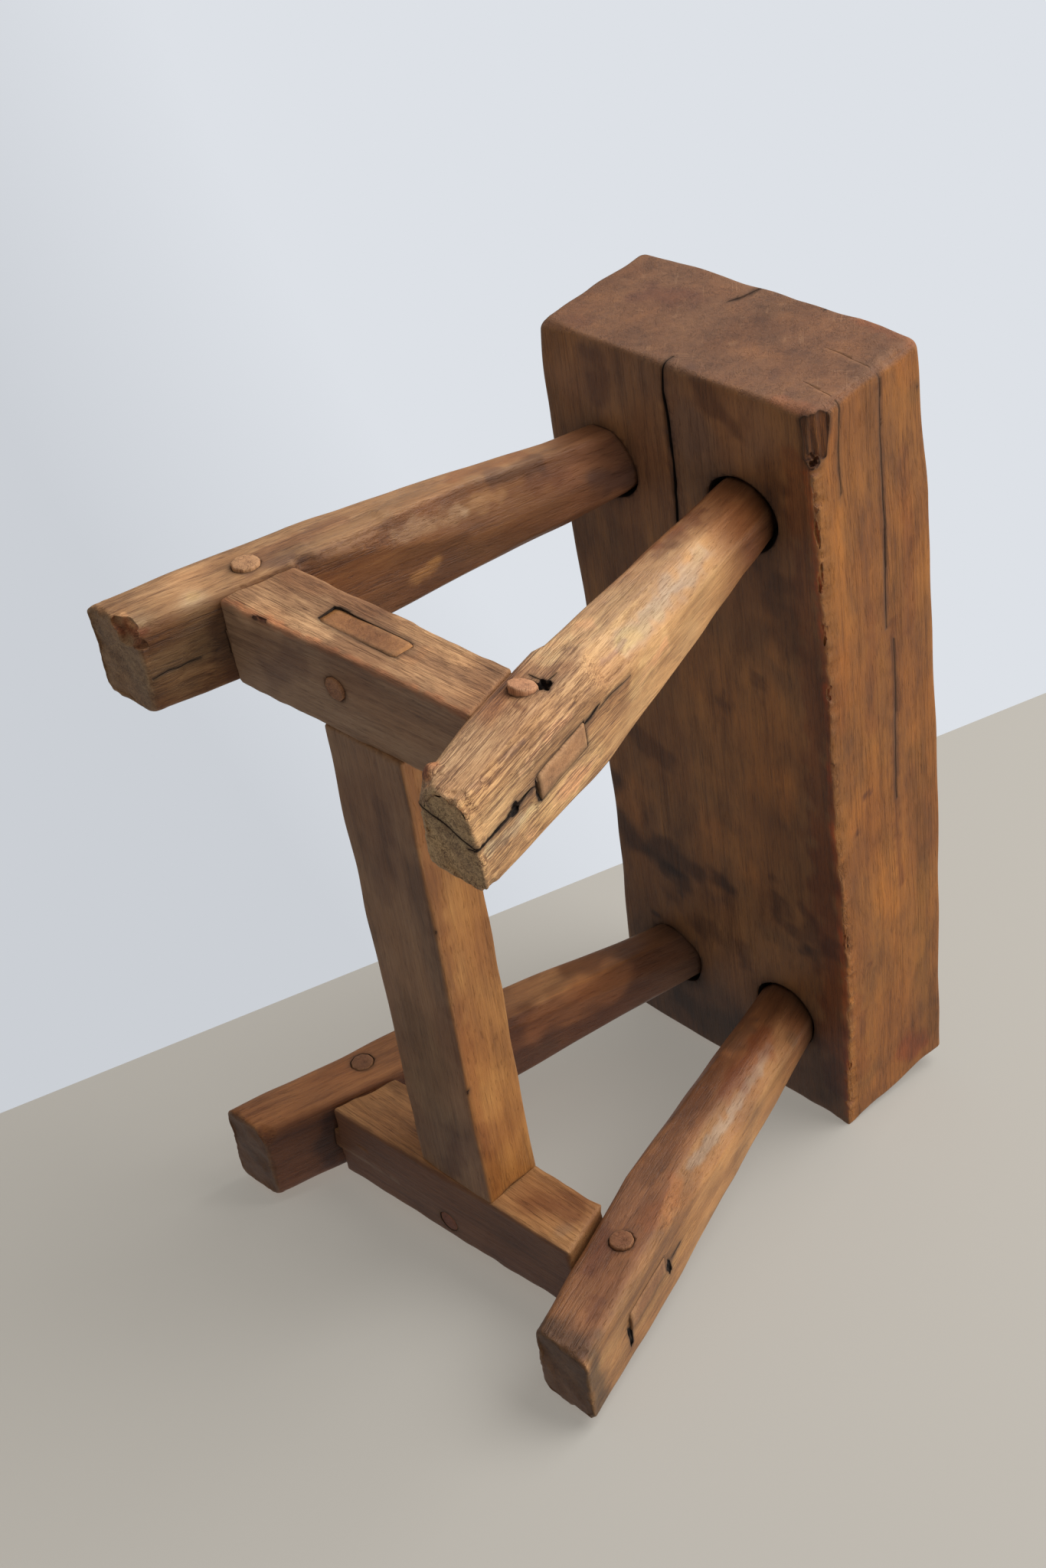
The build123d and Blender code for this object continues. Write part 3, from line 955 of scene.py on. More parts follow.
# %% Paint the beam
soot, faint_soot, gold = (0.40, 0.38, 0.43), (0.60, 0.57, 0.60), (1.30, 1.24, 1.08)
brown_ring = [(-98 + 13 * np.cos(turn), 60 + 13 * np.sin(turn))
              for turn in np.linspace(0.6, 5.2, 10)]
splintered_edge = [(224, 91), (206, 93), (188, 94), (159, 95), (110, 96), (63, 96), (8, 95),
                   (-21, 94), (-50, 96), (-80, 95), (-103, 97), (-142, 96), (-209, 93), (-250, 92)]
seat_faces = [
    # axis and side that the face looks to, the axes along it, its tone, and its washes
    (2, -1, (0, 1), (1.14, 1.12, 0.94), [
        (gold, 55, [(5, 30), (60, 40)]), (gold, 22, [(-60, 0), (-80, 20)]),
        (gold, 18, [(-75, -70), (-60, -60)]), (gold, 14, [(120, 60), (96, 66)]),
        (gold, 10, [(-20, 60), (10, 64)]), (gold, 10, [(205, 20), (160, 12)]),
        # painted light and shade along the beam: the washes at the -X end darken it, those at the
        # +X end make it paler and bluer
        ((0.52, 0.5, 0.53), 80, [(-238, -50), (-238, 50)]),
        ((1.12, 1.22, 1.6), 45, [(235, -50), (228, 40)]),
        ((0.48, 0.48, 0.5), 30, [(-226, -38), (-234, 5)]),
        ((0.7, 0.7, 0.66), 20, [(-205, 76), (-235, 72)]), ((0.76, 0.8, 0.88), 14, [(-125, 40)]),
        ((0.84, 0.88, 1.08), 10, [(-118, -2)]), ((0.84, 0.94, 1.18), 22, [(225, 12), (190, 14)]),
        ((0.74, 0.7, 0.72), 4.5, [(250, -3), (213, -1.6), (160, -3), (112, -4)]),
        (soot, 22, [(-88, -80), (-105, -70)]), (soot, 17, [(-101, -50), (-101, -24)]),
        (soot, 15, [(-60, -84)]), (soot, 13, [(-112, -46), (-118, -33)]), (soot, 13, [(-102, 3)]),
        (faint_soot, 12, [(-135, -41)]), (soot, 6, [(-160, -60)]), (faint_soot, 5, [(-75, 45)]),
        (faint_soot, 9, brown_ring), (faint_soot, 10, [(-122, 74), (-108, 86)]),
        (soot, 8, [(-120, 68)]), (faint_soot, 9, [(-160, 15), (-148, 15)]),
        (faint_soot, 16, [(-150, -15)]), (faint_soot, 13, [(-20, -34), (-14, -56)]),
        (faint_soot, 9, [(45, 21)]), (faint_soot, 8, [(72, 46)]),
        (faint_soot, 16, [(110, 74), (146, 63)]), (faint_soot, 12, [(167, 38), (208, 73)]),
        (faint_soot, 12, [(250, 25), (236, 44)]), (faint_soot, 14, [(222, -54), (250, -55)]),
        ((0.72, 0.52, 0.46), 15, [(-20, 86), (-120, 86), (-230, 84)]),
        ((0.8, 0.66, 0.62), 11, [(230, 84), (100, 86), (0, 85)]),
        ((1.3, 0.92, 0.8), 3.5, splintered_edge),
        *(((1.3, 0.95, 0.82), 3, [(along - 5, 95), (along + 5, 95)]) for along in edge_chips)]),
    (1, 1, (0, 2), (1.14, 0.84, 0.26), [
        # painted shade along the lower side split
        ((0.68, 0.6, 0.52), 5, [(100, 343.5), (54, 343.5), (31, 342), (7, 341), (-17, 340.4),
            (-88, 340)]),
        ((0.82, 0.85, 0.76), 11, [(0, 362), (-90, 361), (-178, 362), (-235, 366)]),
        ((0.8, 0.84, 0.9), 12, [(-226, 311)]), ((1.18, 1.14, 0.98), 8, [(30, 302), (-20, 302)]),
        ((0.82, 0.87, 0.88), 9, [(229, 372)]),
        # painted shade along the upper side split
        ((0.8, 0.72, 0.66), 3.5, [(258, 343), (188, 341.5), (108, 338.4)]),
        ((0.45, 0.36, 0.3), 3, [(-3, 313), (-4, 319)]), ((0.45, 0.36, 0.3), 3, [(-26, 305)]),
        ((0.8, 0.82, 0.95), 4, [(-101, 318), (-153, 311)]), ((0.6, 0.5, 0.45), 3, [(-132, 309)]),
        ((0.85, 0.6, 0.5), 14, [(-228, 345), (-244, 355)]),
        ((1.15, 1.1, 0.9), 8, [(240, 300), (150, 302), (60, 298)]),
        ((1.12, 1.08, 0.92), 10, [(20, 322), (-60, 318), (-110, 330)]),
        ((0.86, 0.78, 0.7), 7, [(120, 326), (40, 322)]),
        ((0.84, 0.74, 0.66), 8, [(-150, 296), (-220, 300)]),
        ((0.86, 0.78, 0.72), 7, [(200, 360), (90, 358)]),
        *(((1.22, 1.18, 1.15), 4, [(along, 290)]) for along in (-36, -63, -119, -147, -177))]),
    (0, 0, (1, 2), (0.9, 0.84, 0.86), [
        ((0.78, 0.78, 0.88), 9, [(51, 333)]), ((0.78, 0.78, 0.88), 7, [(55, 309)]),
        ((0.78, 0.78, 0.88), 7, [(76, 299)]), ((0.78, 0.78, 0.88), 7, [(13, 292)]),
        ((1.26, 1.25, 1.18), 10, [(22, 318), (40, 322)]), ((1.2, 1.22, 1.16), 14, [(15, 365)]),
        ((0.8, 0.72, 0.8), 14, [(-60, 340), (-40, 350)]), ((0.82, 0.78, 0.82), 10, [(-70, 300)]),
        ((1.2, 1.16, 1.06), 12, [(62, 345), (74, 352)]),
        ((1.25, 1.05, 0.95), 8, [(94, 293), (70, 290)]),
        ((1.25, 1.05, 0.95), 8, [(92, 376), (60, 378)])]),
]


def seat_tint(points, normals):
    colour = np.ones((len(points), 3)) * (0.95, 0.86, 0.74)
    for seed, (axis, sign, along, tone, washes) in enumerate(seat_faces):
        painted = wash(np.ones((len(points), 3)) * tone, points, washes, 30 + 20 * seed, along)
        colour = blend_colours(colour, painted, facing(normals, axis, sign))
    patch = ripple(points, 46, 27, (1.8, 1, 1))
    return colour * (1 - 0.22 * np.clip(patch, 0, 0.9)[:, None] * np.array((0.9, 1.0, 1.1)))


# dark rings around the socket mouths on the underside: dirt and painted shade, deeper at the back
# end
def socket_dirt_and_shade(points, normals):
    rings = np.zeros(len(points))
    for centre, mouth in mouths.values():
        gap = np.hypot(points[:, 0] - centre[0], points[:, 1] - centre[1]) - mouth
        depth = 0.45 if centre[0] > 0 else 0.7
        rings = np.maximum(rings, depth * np.exp(-np.maximum(gap, 0) / 5))
    return rings * facing(normals, 2, -1)


def sawn_ends(points, normals):
    return facing(normals, 0, 0)


paint(seat, along_x, (0, 30, seat_middle), seat_tint, 0.25, socket_dirt_and_shade, sawn_ends)
pieces["seat"] = seat

# %% [markdown]
# ## Rails
#
# Each end rail is a bar between two legs, flush with their faces, with a flat tenon that runs on
# through both legs. The bar's ends lean with the legs. Bar and tenon are two blocks, joined by a
# Boolean, so the shoulders are crisp while every other edge is worn.

# %% Shape the end rails
rails = {
    # x of the faces; heights of the lower and upper faces at the right and left legs; gaps at the
    # shoulders, for the left leg at the bottom and the top and then for the right leg; ends is
    # how high the tenon stands in the outer face of the left leg; slack is how far the mortise
    # stands off the tenon towards -X and +X, below and above
    "front": dict(
        x=(164.0, 217.4), low=(44.5, 50.2), high=(87.0, 88.7), out=1, recess=0.7,
        slack=(0.1, 0.8, 1.1, 0.7), ends=(52.8, 95.0), gaps=(0.3, 0.3, 0.3, 0.3)),
    "back": dict(
        x=(-213.5, -160.0), low=(40.5, 48.5), high=(83.0, 86.5), out=-1, recess=0.3,
        slack=(0.04, 0.12, 0.3, 0.2), ends=(48.5, 91.0), gaps=(3.6, 2.4, 2.2, 1.0)),
}
rail_stops = (-100, 88, 112)  # y at the right leg and at the left leg's inner and outer faces
tenon_thickness = 13.6
tenon_reach = 160  # its heights are read a little past the legs, to both sides
bar_half_length, bar_half_height = 90.0, 20.5


def leg_side(leg, height, inner):
    """A leg's inner or outer face at each height, from its low and high y."""
    _, _, low_y, high_y = leg_faces(leg, height)
    return low_y if (leg["neck"][1] > 0) == inner else high_y


def rail_height_at(rail, y):
    """The lower and upper face of a rail's bar or tenon at each y."""
    return [np.interp(y, rail_stops, (*rail[face], end))
            for face, end in zip(("low", "high"), rail["ends"])]


def rail_bar(name, rail, left_leg, right_leg, seed):
    bm = grid_block((28, 96, 24))
    low_x, high_x = rail["x"]
    half = np.array([(high_x - low_x) / 2, bar_half_length, bar_half_height])
    box = crowd(points_of(bm), 0.35) * half
    worn = 2.4 + 1.2 * ripple(box, 14, seed, (1, 2, 1)) + 0.8 * ripple(box, 5, seed, (1, 2, 1))
    box = round_edges(box, half, np.clip(worn, 1, 5))
    y = box[:, 1]
    low, high = rail_height_at(rail, y)
    height = (low + high) / 2 + box[:, 2] / bar_half_height * (high - low) / 2
    rise = unit((height - low) / (high - low))
    left_low, left_high, right_low, right_high = rail["gaps"]
    left_y = leg_side(left_leg, height, True) - left_low + (left_low - left_high) * rise
    right_y = leg_side(right_leg, height, True) + right_low - (right_low - right_high) * rise
    run = right_y + (y + bar_half_length) / (2 * bar_half_length) * (left_y - right_y)
    points = columns((low_x + high_x) / 2 + box[:, 0], run, height)
    sway = 0.6 * ripple(points, 40, seed + 1, (1, 2, 1))
    sway += 0.25 * ripple(points, 10, seed + 2, (1, 3, 1))
    points[:, 0] += sway - 0.4 * rail["out"]
    points[:, 2] += 0.7 * ripple(points, 36, seed + 3, (1, 2, 1))
    return make_piece(name, bm, points, rail_wood)


def rail_tenon(name, rail, left_leg, right_leg, grow, overrun, material, seed):
    """The flat tenon through both legs, or their mortise when it grows: -X, +X, down and up."""
    bm = grid_block((4, 90, 14))
    across, along, level = points_of(bm).T
    middle_x = sum(rail["x"]) / 2 - 0.5 * rail["out"]
    share = (along + 1) / 2
    low, high = rail_height_at(rail, -tenon_reach + 2 * tenon_reach * share)
    height = (low + high) / 2 + level * (high - low - 1.0) / 2
    height += np.where(level > 0, grow[3], -grow[2])
    slant = left_leg.get("skew", 0) * (middle_x - left_leg["foot"][0])
    left_y = leg_side(left_leg, height, False) + overrun - slant * unit(1 - height / skew_top)
    right_y = leg_side(right_leg, height, False) - overrun
    x = middle_x + across * tenon_thickness / 2
    x += np.where(across > 0, grow[1], np.where(across < 0, -grow[0], 0))
    points = columns(x, right_y + share * (left_y - right_y), height)
    points += 0.35 * columns(ripple(points, 9, seed), 0, ripple(points, 9, seed + 1))
    return make_piece(name, bm, points, material)


for seed, (end, rail) in enumerate(rails.items()):
    between = (rail, legs[f"{end}_left"], legs[f"{end}_right"])
    bar = rail_bar(f"{end}_rail_worn", *between, 31 + seed)
    tenon = rail_tenon(f"{end}_tenon", *between, (0, 0, 0, 0), -rail["recess"], rail_wood,
                       41 + seed)
    carve(bar, [tenon], "UNION")
    pieces[f"{end}_rail"] = bar
    # the slots in the legs are lined with near-black painted shade
    for side, slack in (("left", rail["slack"]), ("right", (0.1, 0.1, 0.0, 0.0))):
        slot = rail_tenon(f"{end}_{side}_slot", *between, slack, 6, recess_shade_wood, 41 + seed)
        carve(pieces[f"{end}_{side}_leg"], [slot])
print("rails:", list(rails))

# %% [markdown]
# ## Stretcher
#
# The long stretcher joins the two rails. Its tenons are flat and wide and run through the rails,
# and their ends show on the outer faces with a gap around them, painted near-black as shade.

# %% Shape the stretcher
stretcher_ends = (-160.5, 164.5)
stretcher_middle = 65.6
stretcher_half_width, stretcher_half_height = 29.0, 18.9
tongue = dict(x=(-211.5, 216.2), y=(-36.0, 20.5), z=(61.8, 75.0))
half_length = (stretcher_ends[1] - stretcher_ends[0]) / 2
half = np.array([half_length, stretcher_half_width, stretcher_half_height])
bm = grid_block((170, 28, 20))
box = crowd(points_of(bm), 0.35) * half
box = round_edges(box, half, np.clip(2.2 + 1.3 * ripple(box, 15, 61, (2, 1, 1)), 0.9, 5))
box[:, 0] = np.clip(box[:, 0] + 2.0, *stretcher_ends)
box[:, 1] += 0.8 * ripple(box, 60, 62, (2, 1, 1)) + 0.3 * ripple(box, 12, 63, (3, 1, 1))
box[:, 2] += (stretcher_middle + 0.6 * ripple(box, 50, 64, (2, 1, 1))
              + 0.25 * ripple(box, 12, 65, (3, 1, 1)))
stretcher = make_piece("stretcher_worn", bm, box, rail_wood)


def tongue_block(name, grow, material):
    """The wide tenon through both rails, or their mortise when its faces grow outwards."""
    bm = grid_block((100, 16, 6))
    block = points_of(bm)
    low, high = np.array([tongue[axis] for axis in "xyz"]).T + np.array(grow)
    points = (low + high) / 2 + block * (high - low) / 2
    points[:, 2] -= 1.2 * (unit(np.abs(block[:, 1]) * 8 - 7) * block[:, 2])
    points[:, 0] += (0.45 * (1 + block[:, 1]) - 0.2 * block[:, 2]) * (block[:, 0] > 0.99)
    points += 0.3 * columns(0, ripple(points, 8, 66), ripple(points, 8, 67))
    return make_piece(name, bm, points, material)


carve(stretcher, [tongue_block("tongue", np.zeros((2, 3)), rail_wood)], "UNION")
pieces["stretcher"] = stretcher
# the mortises run past the rails and leave a gap along the tongue, lined with near-black painted
# shade
for end in rails:
    mortise = tongue_block(f"{end}_mortise", [(-8, -0.7, 0.1), (8, -0.1, 0.35)], recess_shade_wood)
    carve(pieces[f"{end}_rail"], [mortise])
print("the stretcher has", len(stretcher.data.polygons), "faces")

# %% [markdown]
# ## Pegs
#
# The pegs are whittled, not turned: a little out of round, with a worn dome at each end that
# stands just proud of the wood. A rod with a low number of flat sides, rounded at its ends,
# gives this. Each peg's hole is the same rod, a little fatter.

# %% Drive the pegs
peg_places = {
    # centre, axis (0 for x, 2 for z), half length, radius, how far its ends lean, and its tint
    "front_left_leg": ((189.5, 91.0, 78.6), 0, 32.0, 7.0, 0.35, (1.70, 1.70, 1.80)),
    "front_right_leg": ((189, -103.3, 72.9), 0, 31.0, 7.4, 0.05, (1.62, 1.75, 1.75)),
    "back_left_leg": ((-187, 106.1, 73.5), 0, 29.3, 6.8, 0.0, (0.75, 0.62, 0.55)),
    "back_right_leg": ((-187, -114.6, 78.8), 0, 29.3, 6.8, 0.0, (0.70, 0.60, 0.52)),
    "front_stretcher": ((193, -12.8, 67.5), 2, 21.5, 6.7, 0.0, (1.15, 1.02, 0.94)),
    "back_stretcher": ((-200, -11.2, 65.0), 2, 21.0, 6.7, 0.0, (0.64, 0.37, 0.28)),
}


def peg_rod(name, place, axis, half_length, radius, lean, grow, material, seed):
    """A whittled peg, or its hole when it grows."""
    bm = grid_rod(40, 24)
    for face in [f for f in bm.faces if len(f.verts) > 4]:
        for thickness in (0.08, 0.3):
            bmesh.ops.inset_region(bm, faces=[face], thickness=thickness)
    rod = points_of(bm)
    keep = np.hypot(rod[:, 0], rod[:, 1])
    turn = np.arctan2(rod[:, 1], rod[:, 0])
    whittled = outline_radius(turn, [(k * 2 * np.pi / 9 + seed, 1.0) for k in range(9)], 30)
    size = (radius + grow) * whittled * keep
    rise = crowd(rod[:, 2], 0.6) * (half_length + grow * 20)
    if not grow:
        tip = half_length - np.abs(rise)
        size = size * (1 - 0.07 * unit(1 - tip / 0.8) ** 2)
        rise = rise - np.sign(rise) * np.where(tip < 0.01, 0.3 * keep ** 4, 0)
    size = size + 0.25 * ripple(ring_points(turn, 5, rise), 9, seed) * keep
    places = np.zeros((len(rod), 3))
    first, second = [k for k in range(3) if k != axis]
    places[:, first], places[:, second] = np.cos(turn) * size, np.sin(turn) * size
    places[:, axis] = rise - lean * places[:, second] * (np.abs(rise) > half_length - 8)
    return make_piece(name, bm, places + np.array(place), material)


# the pegs of the back legs sit in looser holes; every hole is lined with near-black painted shade
for seed, (host, (*size, _)) in enumerate(peg_places.items()):
    pieces[f"{host}_peg"] = peg_rod(f"{host}_peg_worn", *size, 0, peg_wood, 71 + seed)
    end = host.split("_")[0]
    gap = 0.5 if host.startswith("back_") and host.endswith("leg") else 0.15
    for index, piece in enumerate((pieces[f"{end}_rail"], pieces.get(host, stretcher))):
        carve(piece, [peg_rod(f"{host}_hole_{index}", *size, gap, recess_shade_wood, 71 + seed)])
print("pegs:", list(peg_places))

# %% [markdown]
# ## Splits and breaks in the legs and rails
#
# The legs have checked where the end grain dried, and the wood beside one peg has broken away.
# These are the same wedges and lumps as in the seat, set where the photograph shows them. The
# longest cracks are first dropped onto the leg's face, so that they stay on it.
# The deeper splits, slots and breaks are lined with near-black painted shade.

# %% Open the splits
across_leg = (-0.25, -0.97, 0.0)
cracked_leg = pieces["front_left_leg"]
foot_crack = [(195, 140, -8), *on_surface(cracked_leg, [(194.6, 134, 2), (194.6, 132, 13),
    (194, 130, 23), (194.5, 128, 32), (194.5, 126, 38.5), (194.5, 124, 47.6), (192.6, 123, 51)],
    across_leg)]
ridge_crack = on_surface(cracked_leg, [(196, 112, 94), (196.5, 110, 101), (197, 108, 109)],
    across_leg)
long_crack = on_surface(cracked_leg, [(195.8, 109, 108), (196.3, 107, 120), (195, 103, 137)],
    across_leg)
carve(cracked_leg, [
    split_line("foot_split", foot_crack, 1.5, 9, across_leg, 81, 4, 0.6),
    lump("foot_hollow", foot_crack[4], (2.4, 2.4, 7.0), 80, 0.45, recess_shade_wood),
    split_line("slot_split", ridge_crack, 1.4, 6, across_leg, 82, 4, 0.5),
    split_line("long_split", long_crack, 0.22, 3, across_leg, 88, 4, 0.5, crack_wood),
    split_line("sole_split", [(206, 94, 0), (203.8, 108, 0), (200.6, 114.5, 0), (198, 122, 0),
        (196, 132, 0), (195, 142, 0)], 0.7, 10, up, 83, 3, 1.2, crack_wood),
    lump("peg_break", (217.5, 97.4, 86.6), (6, 4.2, 4.4), 84, 0.4, recess_shade_wood),
    split_line("peg_split", [(218, 85, 88.4), (218, 90, 88.2), (218, 96, 88.6)], 0.4, 4,
        inward_end, 89, 4),
    split_line("peg_split_high", [(218, 97, 86), (218, 96, 92), (218, 95.3, 97)], 0.35, 4,
        inward_end, 90, 4),
    lump("slot_break", (190.5, 124, 51.6), (6, 4, 2.2), 85, 0.4, recess_shade_wood),
    lump("sole_chip", (214, 136, 0), (5, 3, 4), 91, 0.4),
    lump("sole_chip_low", (172, 141, 0), (4, 4, 5), 92, 0.4),
    lump("sole_nick", (224, 112, 0), (3, 4, 3), 93, 0.4),
])
carve(pieces["front_right_leg"], [
    lump("foot_break", (217, -114, -2.5), (12, 13, 8.5), 86, 0.3, leg_wood),
    lump("foot_break_low", (214, -106, -1), (8, 5, 5), 98, 0.5, leg_wood),
    split_line("foot_split", on_surface(pieces["front_right_leg"], [(187.5, -104, 2.5),
        (189, -102, 11), (188, -99, 20), (187, -97, 30)], inward_side), 0.3, 5, inward_side, 87, 4,
        0.3, crack_wood),
])
carve(pieces["back_left_leg"], [
    lump("low_slot", (-195, 133.5, 46.3), (9, 3, 2.2), 94, 0.3, recess_shade_wood),
    lump("high_slot", (-192, 119.5, 95), (5, 2.5, 2.2), 95, 0.3, recess_shade_wood),
    split_line("side_split", [(-190, 115, 112), (-191, 119, 98)], 0.7, 4, inward_side, 96, 4),
])
carve(pieces["back_right_leg"], [
    lump("foot_chip", (-157, -115, -1), (5, 4.5, 5.5), 97, 0.3),
])
carve(pieces["front_rail"], [
    lump("tongue_chip", (218.2, 27, 70), (1.6, 5.5, 7.5), 98, 0.3, rail_wood),
    lump("rail_nick", (218.5, -62, 45), (3, 6, 2.4), 99, 0.4),
])
carve(stretcher, [
    lump("end_gap", (-160, 30, 66), (1.8, 3.0, 15), 120, 0.35, recess_shade_wood),
    lump("edge_nick", (60, 30, 46), (9, 2.5, 2.5), 121, 0.4),
    lump("edge_nick_low", (-70, 30, 46), (7, 2, 2.2), 122, 0.4),
])
print("the legs, the front rail and the stretcher have their splits and breaks")

# %% [markdown]
# ## Colours of the legs
#
# The feet are bare and pale, the necks are dark and waxed, and each leg has its own stains. The
# tint goes from tone to neck up the leg, and the washes are laid on one by one, as on the beam.
# Some washes are painted light and shade: pale highlights along corner facets and in a chisel
# hollow, shade under a peg and along a split, and the right legs' +Y faces are darkened as painted
# shade.

